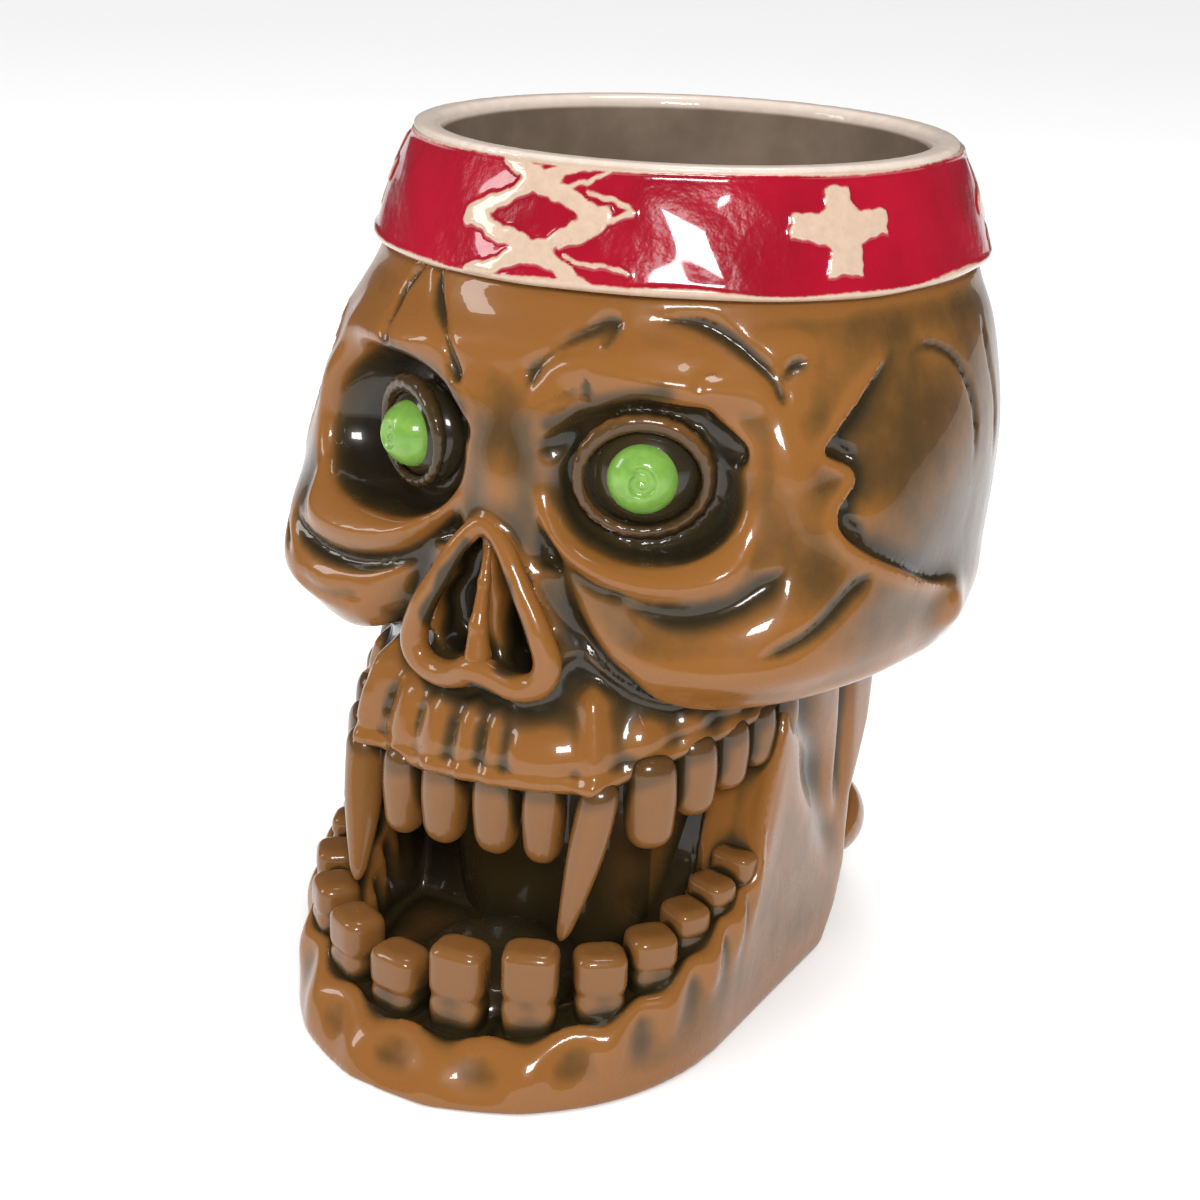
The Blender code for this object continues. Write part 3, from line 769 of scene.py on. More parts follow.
# By side: x, how far back the root is set, height of the tip, and how far the tip leans
FANGS = {-1: (-26.7, 1.6, 22.8, (4.4, -9.4)), 1: (21.5, 0.0, 23.4, (-2.8, -7.4))}
CHEEK_TEETH = (
    (28.4, -54.2, 8.4, 13.5),
    (32.2, -46.6, 7.6, 11.5),
    (34.8, -39.6, 6.8, 10),
    (36.6, -33, 6.2, 9),
    (38, -27, 5.4, 8),
)
# Across, back to front, width, height of the tip on the left and on the right
LOWER_MIDLINE = -1.0
LOWER_ROOT = 4.0
LOWER_TEETH = (
    (6, -76.9, 9.8, 24.2, 19.8),
    (17.6, -73.4, 9.6, 25.6, 21.6),
    (27, -66.8, 9, 24.8, 22.4),
    (32.2, -59, 8.4, 26.4, 24.4),
    (34.4, -51, 7.2, 28.6, 27),
    (36.2, -44.8, 6.2, 31.4, 30),
    (37.6, -39.2, 5.4, 34.6, 34),
)


def gum_height(x, y):
    """Height of the gum's edge at a tooth."""
    return float(read_line(GUM_LINE, math.degrees(math.atan2(x, -y))))


def upper_tooth(x, y, centre_y, turn, width, length, point, power):
    """A tooth that is buried in the gum and faces out from a point on the midline."""
    root = gum_height(x, y)
    facing = turn * facing_from(x, y, centre_y)
    size = (width, UPPER_DEPTH, root + 4.0, root - length)
    return tooth_shape((x, y), facing, *size, point=point, power=power)


def all_teeth():
    """Yields each tooth's node name and shape."""
    for side, word in ((-1, "right"), (1, "left")):
        for number, (across, y, width) in enumerate(INCISORS, start=1):
            x = UPPER_MIDLINE + side * across
            shape = upper_tooth(x, y, -20.0, 0.6, width + 1.3, INCISOR_LENGTH, 0.26, 2.3)
            yield f"upper_{word}_incisor_{number}", shape
        x, back, tip, lean = FANGS[side]
        place, facing = (x, FANG_Y + back), facing_from(x, FANG_Y, -20.0)
        root = gum_height(x, FANG_Y) + 3.0
        yield f"{word}_fang", tooth_shape(place, facing, 7.8, 8.4, root, tip, lean, point=0.8, power=2.3)
        for number, (across, y, width, length) in enumerate(CHEEK_TEETH, start=1):
            x = UPPER_MIDLINE * 0.6 + side * across
            shape = upper_tooth(x, y, -25.0, 1.0, width + 1.0, length, 0.2, 2.5)
            yield f"upper_{word}_cheek_tooth_{number}", shape
        for number, (across, y, width, left_tip, right_tip) in enumerate(LOWER_TEETH, start=1):
            x = LOWER_MIDLINE + side * across
            root = float(shelf_height(front_share(x, y))) - LOWER_ROOT
            tip = left_tip if side > 0 else right_tip
            facing = facing_from(x, y, -34.0)
            shape = tooth_shape((x, y), facing, width, 8.0, root, tip, waist=0.08, power=3.4, rounding=0.55)
            yield f"lower_{word}_tooth_{number}", shape


# ========== Neck bones and lower jaw ==========
# Height, reach out from the neck, half angle round the back
NECK_BONES = {
    "neck_bone_1": (14.0, 7.0, 74.0),
    "neck_bone_2": (31.0, 5.4, 58.0),
    "neck_bone_3": (46.0, 5.0, 46.0),
}


def neck_bone(height, reach, half_angle):
    """A knobbly collar round the back of the neck."""
    points, radii = [], []
    for share in np.linspace(-1.0, 1.0, 31):
        angle = 180.0 + share * half_angle
        size = math.sqrt(max(1.0 - abs(share) ** 4, 0.05))
        knob = 0.86 + 0.12 * math.cos(math.radians(share * 540.0)) + 0.04 * math.sin(9.0 * share)
        out = float(oval_radius(angle, *NECK_BONE_SEAT))
        points.append(tuple(polar(angle, out, height)))
        radii.append(reach * size * knob)
    return chain(points, radii, 1.2)


JAW_FOOT = (39.5, -47.0, 43.5)
JAW_LIP = (41.2, -43.0, 41.4)
JAW_BACK_Y = 4.5
FRONT_SHARE = 0.7
JAW_RISE = 19.6
# How far back the jaw reaches at each height
JAW_BACK = ((0.0, -1.5), (7.0, 3.5), (15.0, 5.6), (30.0, 4.6), (38.0, 8.0), (44.0, 10.0), (60.0, 11.0))


def front_share(x, y):
    """How far round the jaw a point stands: nought at the chin, FRONT_SHARE where the sides run straight."""
    half_width, centre_y, depth = JAW_LIP
    turn = np.arctan2(np.abs(x) / half_width, np.maximum(centre_y - y, 0.0) / depth)
    return FRONT_SHARE * turn / (math.pi / 2)


def lip_height(share):
    return 9.4 + JAW_RISE * np.clip(share / FRONT_SHARE, 0.0, 1.0) ** 2.2


def shelf_height(share):
    return 8.6 + JAW_RISE * np.clip(share / FRONT_SHARE, 0.0, 1.0) ** 2.1


def root_bulge(flat_x, flat_y):
    """One where a lower tooth's root swells the jaw's wall, and nought between two roots."""
    heading = np.arctan2(flat_x, JAW_LIP[1] - flat_y)
    total = np.zeros(np.broadcast(flat_x, flat_y).shape)
    for side in (-1, 1):
        for across, y, width, _, _ in LOWER_TEETH:
            x = LOWER_MIDLINE + side * across
            gap = (heading - math.atan2(x, JAW_LIP[1] - y)) * 40.0
            total = np.maximum(total, np.exp(-((gap / (0.42 * width)) ** 2)))
    return total


def jaw_field(field):
    """Fills a field with the jaw's plate, the shelf for the teeth, the mouth's floor and the two branches."""
    x, y, z = field.x, field.y, field.z
    flat_x, flat_y = x[:, :, 0], y[:, :, 0]
    half_width, centre_y, depth = JAW_LIP
    ahead = np.maximum(centre_y - flat_y, 0.0) / depth + 1e-6
    turn = np.degrees(np.arctan2(np.abs(flat_x) / half_width, ahead)) / 90.0
    behind = np.clip((flat_y - centre_y) / (JAW_BACK_Y - centre_y), 0.0, 1.0)
    share = np.where(flat_y < centre_y, FRONT_SHARE * turn, FRONT_SHARE + (1.0 - FRONT_SHARE) * behind)
    bulge = root_bulge(flat_x, flat_y)
    lip = lip_height(share) + 1.3 * (0.5 - bulge)
    shelf = shelf_height(share)
    rise = smooth_step(0.705, 0.80, share)
    top = 60.0 + 6.0 * smooth_step(0.8, 0.9, share)
    lip = lip + (top - lip) * rise
    shelf = shelf + (top - 1.0 - shelf) * rise
    floor = 6.0 + 4.0 * share + (top - 8.0) * rise
    # the wall leans from the foot's outline to the lip's
    part = np.clip(z / np.maximum(lip[:, :, None], 4.0), 0.0, 1.0)
    belly = 0.8 * np.sin(math.pi * part)
    a = JAW_FOOT[0] + (JAW_LIP[0] - JAW_FOOT[0]) * part + belly * 0.4
    cy = JAW_FOOT[1] + (JAW_LIP[1] - JAW_FOOT[1]) * part
    b = JAW_FOOT[2] + (JAW_LIP[2] - JAW_FOOT[2]) * part + belly
    along = np.minimum(y - cy, 0.0)
    k0 = np.sqrt((x / a) ** 2 + (along / b) ** 2) + 1e-6
    k1 = np.sqrt((x / (a * a)) ** 2 + (along / (b * b)) ** 2) + 1e-6
    outside = k0 * (k0 - 1.0) / k1
    below = np.exp(-(((z - lip[:, :, None] + 3.5) / 4.5) ** 2)) * (1.0 - rise[:, :, None])
    outside = outside - 2.1 * (bulge[:, :, None] - 0.55) * below
    # two columns up the branch, with a slot between them
    slot = np.exp(-(((y + 4.2 + 0.10 * (z - 50.0)) / 2.2) ** 2)) * smooth_step(24.0, 44.0, z) * 3.4
    front_dip = np.exp(-(((y + 20.0 + 0.55 * (z - 50.0)) / 5.0) ** 2)) * smooth_step(16.0, 34.0, z) * 2.0
    front_dip = front_dip * (1.0 + 0.3 * np.sin(0.35 * z))
    outside = outside + slot + front_dip
    inward = -outside
    edge = smooth_step(2.0, 3.4, inward)
    deep = smooth_step(11.0, 13.5, inward)
    height = lip[:, :, None] + (shelf - lip)[:, :, None] * edge + (floor - shelf)[:, :, None] * deep
    body = smooth_max(outside, (z - height) * 0.85, 1.8)
    back = np.interp(field.axes[2], *np.array(JAW_BACK).T)[None, None, :]
    body = smooth_max(body, y - back, 4.5)
    body = smooth_max(body, -z, 1.4)
    neck_wall = oval_radius(heading_of(x, y), *NECK_WALL_MIDDLE)
    body = np.maximum(body, neck_wall - np.hypot(x, y))
    field.f = np.minimum(field.f, body).astype(np.float32)


# ========== Building the pieces ==========
PIECES = []


def add_piece(name, points, faces, finish, field=None):
    """Makes a mesh of quads that stands in for the CAD node of the same name."""
    mesh = bpy.data.meshes.new(name)
    mesh.vertices.add(len(points))
    mesh.vertices.foreach_set("co", (np.asarray(points, dtype=np.float32) * MM).ravel())
    mesh.loops.add(faces.size)
    mesh.loops.foreach_set("vertex_index", faces.astype(np.int32).ravel())
    mesh.polygons.add(len(faces))
    mesh.polygons.foreach_set("loop_start", np.arange(0, faces.size, 4, dtype=np.int32))
    mesh.update(calc_edges=True)
    mesh.validate()
    mesh.polygons.foreach_set("use_smooth", np.full(len(mesh.polygons), True))
    obj = bpy.data.objects.new(name, mesh)
    bpy.context.scene.collection.objects.link(obj)
    mesh.materials.append(finish)
    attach(obj, "root")
    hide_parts(name)
    PIECES.append((obj, np.asarray(points, dtype=np.float32), field))
    return obj


def piece_from_field(name, field, finish):
    points, quads = skin(field)
    points = relax(points, quads)
    return add_piece(name, points, quads, finish, field)


def piece_from_shape(name, shape, finish, cell=TOOTH_CELL):
    field = Field([v - 2 * cell for v in shape.low], [v + 2 * cell for v in shape.high], cell)
    field.join(shape)
    return piece_from_field(name, field, finish)


def make_skull():
    field = Field((-64.0, -70.0, -1.5), (64.0, 64.0, HEIGHT + 2.0), CELL)
    rho, angle = head_grid(field)
    cut_sockets(field)
    field.join(nose_ridge_shape(-0.4), 2.6)
    for side in (-1, 1):
        field.cut(nostril(side), 1.0)
    cavity = cup_cavity(field.z, rho, angle)
    field.f = smooth_max(field.f, -cavity, 0.5).astype(np.float32)
    field.f = smooth_max(field.f, -field.z, 1.2).astype(np.float32)
    return field


# A dark line along the top of each socket, under the brow, as (x, height)
LID_SHADOW = np.array([(8.5, 109.8), (15.9, 114.1), (26.4, 116.8)])


def ink_and_shade_amount(points, name):
    """How much dark underglaze is brushed on, with painted shade: inside the eye sockets, the nostrils and
    the mouth, plus a painted shadow under each brow and painted shade on the upper teeth under the gum's
    edge.
    """
    x, y, z = points[:, 0], points[:, 1], points[:, 2]
    ink = np.zeros(len(points))
    # Dark underglaze and painted shade inside each socket: near black in the right one, darkest on the lid
    # ring in the left one. Painted shade inside each nostril.
    for side in (-1, 1):
        inside = smooth_step(0.4, -3.4, socket(side, 0.4).distance(x, y, z))
        ring = smooth_step(0.2, 2.0, eye_ring(side).distance(x, y, z))
        if side < 0:
            ink = np.maximum(ink, inside * (0.8 + 0.2 * ring))
        else:
            ink = np.maximum(ink, inside * (0.68 - 0.60 * ring))
        ink = np.maximum(ink, smooth_step(0.5, -1.6, nostril(side).distance(x, y, z)))
    # Painted shade inside the mouth, lighter towards its sides and half as strong on the teeth
    oval = np.hypot(x / 34.0, (y + 36.0) / 26.5)
    mouth = smooth_step(1.04, 0.94, oval) * smooth_step(4.0, 10.0, z) * smooth_step(53.0, 48.0, z)
    mouth = mouth * (1.0 - 0.55 * smooth_step(10.0, 26.0, -x)) * (1.0 - smooth_step(8.0, 22.0, x))
    heading = heading_of(x, y)
    # Painted shade on the upper teeth just under the gum's overhanging edge
    if any(word in name for word in ("incisor", "cheek", "fang")):
        gum = read_line(GUM_LINE, heading)
        ink = np.maximum(ink, 0.55 * smooth_step(gum - 3.5, gum + 0.5, z))
    if "lower_jaw" in name:
        rim = np.hypot(x / 41.5, np.minimum(y + 45.0, 0.0) / 43.5)
        outer = smooth_step(3.0, 1.0, np.abs(rim - 1.0) * 42.0)
        between = 1.0 - smooth_step(0.1, 0.75, root_bulge(x, y))
        share = front_share(x, y)
        lip = lip_height(share)
        spot = np.exp(-(((z - 0.58 * lip) / (0.26 * lip)) ** 2)) * smooth_step(0.68, 0.5, share)
        ink = np.maximum(ink, 0.5 * outer * between * spot)
    is_tooth = any(word in name for word in ("tooth", "incisor", "fang"))
    ink = np.maximum(ink, mouth * (0.5 if is_tooth else 1.0))
    wiped = 0.25 * smooth_step(10.0, 22.0, x) * smooth_step(1.06, 0.98, oval)
    wiped = wiped * smooth_step(8.0, 12.0, z) * smooth_step(60.0, 52.0, z)
    if "lower_jaw" in name:
        wiped = np.maximum(wiped, 0.2 * smooth_step(32.0, 37.0, np.abs(x)) * smooth_step(-52.0, -38.0, y))
    if "skull_cup" in name:
        # Painted shadow under each brow, over the upper lid
        shadow, _, _ = path_distance(np.abs(x), z, LID_SHADOW)
        ink = np.maximum(ink, 0.8 * np.exp(-((shadow / 2.2) ** 2)) * smooth_step(-40.0, -50.0, y))
        front = smooth_step(0.0, -20.0, y)
        wiped = np.maximum(wiped, 0.25 * smooth_step(-18.0, -44.0, y) * smooth_step(106.0, 122.0, z))
        wiped = np.maximum(
            wiped, 0.25 * front * smooth_step(70.0, 64.0, z) * smooth_step(8.0, 16.0, np.abs(x))
        )
    ink = ink - wiped * (ink < 0.05)
    if "skull_cup" in name:
        inside_cup = (np.hypot(x, y) < cup_reach(heading, z) + 0.8) & (z > CUP_FLOOR_Z - 1.0)
        ink = np.where(inside_cup, smooth_step(149.0, 146.5, z), ink)
    return ink


def spread_shade():
    """Blurs the solid's occupancy at three sizes and writes, at each point, how much clay surrounds it."""
    low = np.array([-72.0, -100.0, -14.0])
    high = np.array([72.0, 72.0, HEIGHT + 14.0])
    counts = [int(v) + 1 for v in (high - low) / SHADE_CELL]
    solid = np.zeros(counts, dtype=np.float32)
    for _, _, field in PIECES:
        if field is None:
            continue
        values = field.f
        picks = []
        for axis in range(3):
            start = field.axes[axis][0]
            first = max(int(math.ceil((start - low[axis]) / SHADE_CELL)), 0)
            last = min(int((field.axes[axis][-1] - low[axis]) / SHADE_CELL), counts[axis] - 1)
            picks.append(slice(first, last + 1))
            spot = (low[axis] + SHADE_CELL * np.arange(first, last + 1) - start) / field.cell
            base = np.clip(spot.astype(int), 0, len(field.axes[axis]) - 2)
            part = (spot - base).astype(np.float32)
            part = part.reshape([-1 if other == axis else 1 for other in range(3)])
            values = np.take(values, base, axis) * (1.0 - part) + np.take(values, base + 1, axis) * part
        filled = np.clip(0.5 - values / SHADE_CELL, 0.0, 1.0)
        solid[tuple(picks)] = np.maximum(solid[tuple(picks)], filled)
    x, y, z = [low[axis] + SHADE_CELL * np.arange(counts[axis]) for axis in range(3)]
    flat = np.hypot(x[:, None], y[None, :])
    heading = heading_of(x[:, None], y[None, :])
    inner = oval_radius(heading, *NECK_WALL_MIDDLE)
    solid[(flat < inner)[:, :, None] & (z > 3.0)[None, None, :] & (z < 148.0)[None, None, :]] = 1.0
    solid[(flat < WALL_MIDDLE)[:, :, None] & (z > 82.0)[None, None, :] & (z < 148.0)[None, None, :]] = 1.0
    wave = np.fft.rfftn(solid)
    squares = [np.fft.fftfreq(n) ** 2 for n in counts[:2]] + [np.fft.rfftfreq(counts[2]) ** 2]
    total = squares[0][:, None, None] + squares[1][None, :, None] + squares[2][None, None, :]
    # Writes the brushed dark underglaze and the painted shade for each point
    for obj, points, _ in PIECES:
        layer = obj.data.attributes.new("ink", "FLOAT", "POINT")
        layer.data.foreach_set("value", ink_and_shade_amount(points, obj.name).astype(np.float32))
    for label, sigma in (("fine", 1.1), ("middle", 2.6), ("wide", 8.0)):
        blurred = np.fft.irfftn(wave * np.exp(-2.0 * (math.pi * sigma / SHADE_CELL) ** 2 * total), s=counts)
        for obj, points, _ in PIECES:
            spot = (points - low) / SHADE_CELL
            base = np.clip(spot.astype(int), 0, np.array(counts) - 2)
            part = spot - base
            value = np.zeros(len(points))
            for corner in product((0, 1), repeat=3):
                weight = 1.0
                for axis, step in enumerate(corner):
                    weight = weight * (part[:, axis] if step else 1.0 - part[:, axis])
                value += weight * blurred[tuple((base + corner).T)]
            layer = obj.data.attributes.new(f"clay_{label}", "FLOAT", "POINT")
            layer.data.foreach_set("value", value.astype(np.float32))


# ========== Materials ==========
def linear(red, green, blue):
    """A colour given as screen values from 0 to 255, for a shader."""
    def one(v):
        v /= 255.0
        return v / 12.92 if v <= 0.04045 else ((v + 0.055) / 1.055) ** 2.4
    return (one(red), one(green), one(blue), 1.0)


# A mix node's sockets for colours, which come after those for numbers and vectors
MIX_FIRST, MIX_SECOND, MIX_RESULT = 6, 7, 2


class Graph:
    """Short names for building a material's nodes."""

    def __init__(self, name):
        self.material = bpy.data.materials.new(name)
        self.material.use_nodes = True
        self.tree = self.material.node_tree
        self.tree.nodes.clear()
        self.out = self.add("ShaderNodeOutputMaterial")
        self.shader = self.add("ShaderNodeBsdfPrincipled")
        self.tree.links.new(self.shader.outputs[0], self.out.inputs[0])
        self.place = self.add("ShaderNodeTexCoord").outputs["Object"]

    def add(self, kind):
        return self.tree.nodes.new(kind)

    def put(self, socket, value):
        if isinstance(value, bpy.types.NodeSocket):
            self.tree.links.new(value, socket)
        else:
            socket.default_value = value

    def paint(self, socket_name, value):
        self.put(self.shader.inputs[socket_name], value)

    def attribute(self, name):
        node = self.add("ShaderNodeAttribute")
        node.attribute_name = name
        return node.outputs["Fac"]

    def maths(self, operation, a, b=0.0, c=0.0):
        node = self.add("ShaderNodeMath")
        node.operation = operation
        for socket, value in zip(node.inputs, (a, b, c)):
            self.put(socket, value)
        return node.outputs[0]

    def ramp(self, value, low, high, start=0.0, end=1.0):
        node = self.add("ShaderNodeMapRange")
        node.interpolation_type = "SMOOTHSTEP"
        for socket, given in zip(node.inputs, (value, low, high, start, end)):
            self.put(socket, given)
        return node.outputs[0]

    def noise(self, scale, detail=3.0, rough=0.5, stretch=None, offset=(0.0, 0.0, 0.0)):
        mapping = self.add("ShaderNodeMapping")
        self.put(mapping.inputs["Vector"], self.place)
        mapping.inputs["Location"].default_value = offset
        mapping.inputs["Scale"].default_value = stretch or (1.0, 1.0, 1.0)
        node = self.add("ShaderNodeTexNoise")
        self.put(node.inputs["Vector"], mapping.outputs[0])
        node.inputs["Scale"].default_value = scale
        node.inputs["Detail"].default_value = detail
        node.inputs["Roughness"].default_value = rough
        return node.outputs["Fac"]

    def mix(self, factor, a, b):
        node = self.add("ShaderNodeMix")
        node.data_type = "RGBA"
        self.put(node.inputs["Factor"], factor)
        self.put(node.inputs[MIX_FIRST], a)
        self.put(node.inputs[MIX_SECOND], b)
        return node.outputs[MIX_RESULT]

    def bump(self, height, strength, distance):
        node = self.add("ShaderNodeBump")
        node.inputs["Strength"].default_value = strength
        node.inputs["Distance"].default_value = distance
        self.put(node.inputs["Height"], height)
        return node.outputs[0]

    def gloss(self, roughness, coat=0.45, coat_roughness=0.03):
        self.put(self.shader.inputs["Roughness"], roughness)
        self.shader.inputs["IOR"].default_value = 1.5
        self.shader.inputs["Specular IOR Level"].default_value = 0.14
        self.shader.inputs["Coat Weight"].default_value = coat
        self.shader.inputs["Coat Roughness"].default_value = coat_roughness
        self.shader.inputs["Coat IOR"].default_value = 1.55


def glaze_skin(graph):
    """Ripples and pinholes of a thick glaze."""
    ripple = graph.noise(140.0, 2.0, 0.5)
    grain = graph.noise(900.0, 2.0, 0.6)
    total = graph.maths("MULTIPLY_ADD", grain, 0.08, ripple)
    graph.paint("Normal", graph.bump(total, 0.35, 0.0004))


# Sets where the stain begins: lower leaves more of the clay bare
STAIN_LEVEL = -1.113


def wiped_glaze(name, *tints):
    """Clear amber glaze over a dark stain that was wiped off wherever the clay stands proud.

    The tints run from raised clay through its body, a thin wash and the stain to the blackest hollow. The
    widest blur of the clay and the brushed darkness also add painted shade in broad hollows, the sockets, the
    nostrils and the mouth.
    """
    raised, body, wash, stain, black = [linear(*tint) for tint in tints]
    graph = Graph(name)
    cloud = graph.noise(40.0, 5.0, 0.62)
    drag = graph.noise(150.0, 4.0, 0.62, stretch=(1.0, 1.0, 0.5), offset=(3.0, 1.0, 2.0))
    fine, wide, ink = [graph.attribute(name) for name in ("clay_fine", "clay_wide", "ink")]
    wiped = graph.maths("MINIMUM", ink, 0.0)
    total = STAIN_LEVEL
    middle = graph.attribute("clay_middle")
    # The fine and middle blurs pool the stain in the hollows; the wide blur adds painted shade across broad
    # hollows
    weights = ((fine, 0.3), (middle, 1.15), (wide, 0.5), (cloud, 0.3), (drag, 0.1), (wiped, 0.5))
    for source, weight in weights:
        total = graph.maths("MULTIPLY_ADD", source, weight, total)
    ramp = graph.add("ShaderNodeValToRGB")
    graph.put(ramp.inputs[0], graph.maths("MULTIPLY_ADD", total, 2.3, 0.5))
    stops = ramp.color_ramp.elements
    stops[0].position, stops[0].color = 0.30, raised
    stops[1].position, stops[1].color = 0.44, body
    for place, tint in ((0.58, wash), (0.76, stain), (1.0, black)):
        stop = stops.new(place)
        stop.color = tint
    line = graph.ramp(graph.maths("MULTIPLY_ADD", drag, 0.05, fine), 0.565, 0.66)
    colour = graph.mix(graph.maths("MULTIPLY", line, 0.7), ramp.outputs[0], stain)
    # Dark underglaze and painted shade, blacker where the hollow is broad and deep
    brushed_and_shaded = graph.ramp(graph.maths("MULTIPLY_ADD", cloud, 0.3, ink), 0.3, 1.05)
    deep = graph.mix(graph.ramp(wide, 0.5, 0.75), stain, black)
    colour = graph.mix(brushed_and_shaded, colour, deep)
    graph.paint("Base Color", colour)
    graph.gloss(graph.ramp(drag, 0.2, 0.8, 0.24, 0.36))
    glaze_skin(graph)
    return graph.material


def plain_glaze(name, first, second, scale=60.0):
    """One soft glaze, clouded between two tints."""
    graph = Graph(name)
    cloud = graph.noise(scale, 4.0, 0.6)
    graph.paint("Base Color", graph.mix(graph.ramp(cloud, 0.3, 0.7), linear(*first), linear(*second)))
    graph.gloss(graph.ramp(cloud, 0.2, 0.8, 0.2, 0.3))
    glaze_skin(graph)
    return graph.material


def cup_glaze():
    """The cup's inside, dull brown below the pale rim."""
    graph = Graph("cup_inside_glaze")
    cloud = graph.noise(45.0, 4.0, 0.6)
    rim = graph.mix(graph.noise(300.0, 3.0, 0.6), linear(196, 183, 172), linear(176, 160, 147))
    inside = graph.mix(graph.ramp(cloud, 0.3, 0.7), linear(118, 103, 90), linear(98, 84, 72))
    depth = graph.maths("MULTIPLY_ADD", cloud, 0.25, graph.attribute("ink"))
    graph.paint("Base Color", graph.mix(graph.ramp(depth, 0.35, 0.8), rim, inside))
    graph.gloss(0.3)
    glaze_skin(graph)
    return graph.material


def band_glaze():
    """Red glaze with bare cream clay left as the motifs and along the band's lower edge."""
    graph = Graph("red_glaze")
    cloud = graph.noise(30.0, 4.0, 0.6)
    rough_edge = graph.noise(700.0, 3.0, 0.6)
    red = graph.mix(graph.ramp(cloud, 0.3, 0.7), linear(148, 8, 34), linear(120, 5, 24))
    cream = graph.mix(graph.noise(600.0, 3.0, 0.7), linear(184, 162, 142), linear(162, 138, 118))
    gap = graph.maths("MULTIPLY_ADD", rough_edge, 0.6, graph.attribute("motif_gap"))
    painted = graph.ramp(gap, 0.2, 0.6)
    colour = graph.mix(painted, cream, red)
    graph.paint("Base Color", colour)
    graph.gloss(0.24, coat=0.7, coat_roughness=0.05)
    ripple = graph.noise(260.0, 3.0, 0.55)
    swell = graph.noise(60.0, 2.0, 0.5)
    total = graph.maths("MULTIPLY_ADD", swell, 2.4, ripple)
    graph.paint("Normal", graph.bump(total, 0.5, 0.0006))
    return graph.material


BONE = wiped_glaze(
    "bone_glaze", (119, 76, 33), (99, 66, 29), (74, 52, 25), (51, 39, 20), (28, 23, 13)
)
TOOTH = wiped_glaze(
    "tooth_glaze", (108, 71, 34), (86, 58, 28), (66, 47, 23), (45, 35, 18), (26, 21, 12)
)
CREAM = cup_glaze()
EYE = plain_glaze("eye_glaze", (52, 42, 24), (38, 32, 20))
IRIS = plain_glaze("iris_glaze", (112, 150, 66), (94, 134, 54), 300.0)
RED = band_glaze()
TONGUE = plain_glaze("tongue_glaze", (60, 48, 28), (44, 36, 22))


# ========== Assembly ==========
def paint_cup_inside(obj):
    """The cup's inside and its rim have their own pale glaze."""
    obj.data.materials.append(CREAM)
    count = len(obj.data.polygons)
    centres = np.zeros(count * 3, dtype=np.float32)
    obj.data.polygons.foreach_get("center", centres)
    x, y, z = centres.reshape(-1, 3).T / MM
    rho = np.hypot(x, y)
    heading = heading_of(x, y)
    pale = ((rho < cup_reach(heading, z) + 1.0) & (z > CUP_FLOOR_Z - 1.0)) | (z > 138.0)
    obj.data.polygons.foreach_set("material_index", pale.astype(np.int32))


skull = piece_from_field("skull_cup", make_skull(), BONE)
paint_cup_inside(skull)

jaw = Field((-46.0, -94.0, -1.5), (46.0, 13.0, 70.0), CELL)
jaw_field(jaw)
piece_from_field("lower_jaw", jaw, BONE)

piece_from_shape("nose_ridge", nose_ridge_shape(), BONE, NOSE_CELL)
piece_from_shape("nasal_septum", septum_shape(), BONE, NOSE_CELL)
for tooth_name, tooth in all_teeth():
    piece_from_shape(tooth_name, tooth, TOOTH)

for side, word in ((-1, "right"), (1, "left")):
    sight = polar(side * EYE_ANGLE, 1.0, 0.0)
    centre = sight * EYEBALL_DEPTH + np.array((0.0, 0.0, EYE_Z))
    eyeball = ball(tuple(centre), EYEBALL_RADII, turn=side * EYE_ANGLE)
    piece_from_shape(f"{word}_eyeball", eyeball, EYE)
    iris = iris_field(side, tuple(centre + sight * IRIS_FORWARD))
    piece_from_field(f"{word}_iris", iris, IRIS)

for node, sizes in NECK_BONES.items():
    piece_from_shape(node, neck_bone(*sizes), BONE, CELL)

tongue = ball((0.0, -58.0, 8.0), (15.0, 17.0, 7.0))
piece_from_shape("tongue", tongue, TONGUE, CELL)


def band_profile():
    """The band's section as (radius, height), from the top inside round the outside to the foot inside."""
    top = HEIGHT - 0.9
    foot = SHOULDER_Z + 0.2
    roll = [(BAND_TOP - 1.0 + math.sin(t), top - 1.0 + math.cos(t)) for t in np.linspace(0, math.pi / 2, 6)]
    flare, drop, bead = BAND_FOOT - BAND_TOP, top - foot - 2.6, 1.6
    wall = [(BAND_TOP + flare * s**0.85, top - 1.0 - drop * s) for s in np.linspace(0.03, 1, 44)]
    turns = np.linspace(0.15, math.pi / 2, 7)
    base = [(BAND_FOOT - bead + math.cos(t) * bead, foot + bead - math.sin(t) * bead) for t in turns]
    return [(BAND_INSIDE, top)] + roll + wall + base + [(BAND_INSIDE, foot)]


# Strokes of the lattice and the thin ones beside it, each from (across, up) to (across, up)
LATTICE = [
    ((0, 5.8), (12, 1.4)), ((12, 1.4), (2, -4.6)), ((2, -4.6), (-12.2, -0.8)), ((-12.2, -0.8), (0, 5.8)),
]
LATTICE += [((0, 5.8), (-8, 9.4)), ((0, 5.8), (8.6, 9.4)), ((2, -4.6), (-10, -9.6)), ((2, -4.6), (12, -10.4))]
FINE_LINES = [
    ((4.4, 4.6), (13.6, 8.6)), ((9, 5), (17, 2.6)), ((17, 2.6), (6, -3.8)), ((7, -5.2), (16.5, -6.6)),
]


def segment_gap(u, v, start, end):
    """Distance from each point to a straight stroke."""
    run = np.array(end) - np.array(start)
    t = np.clip(((u - start[0]) * run[0] + (v - start[1]) * run[1]) / (run @ run), 0.0, 1.0)
    return np.hypot(u - start[0] - t * run[0], v - start[1] - t * run[1])


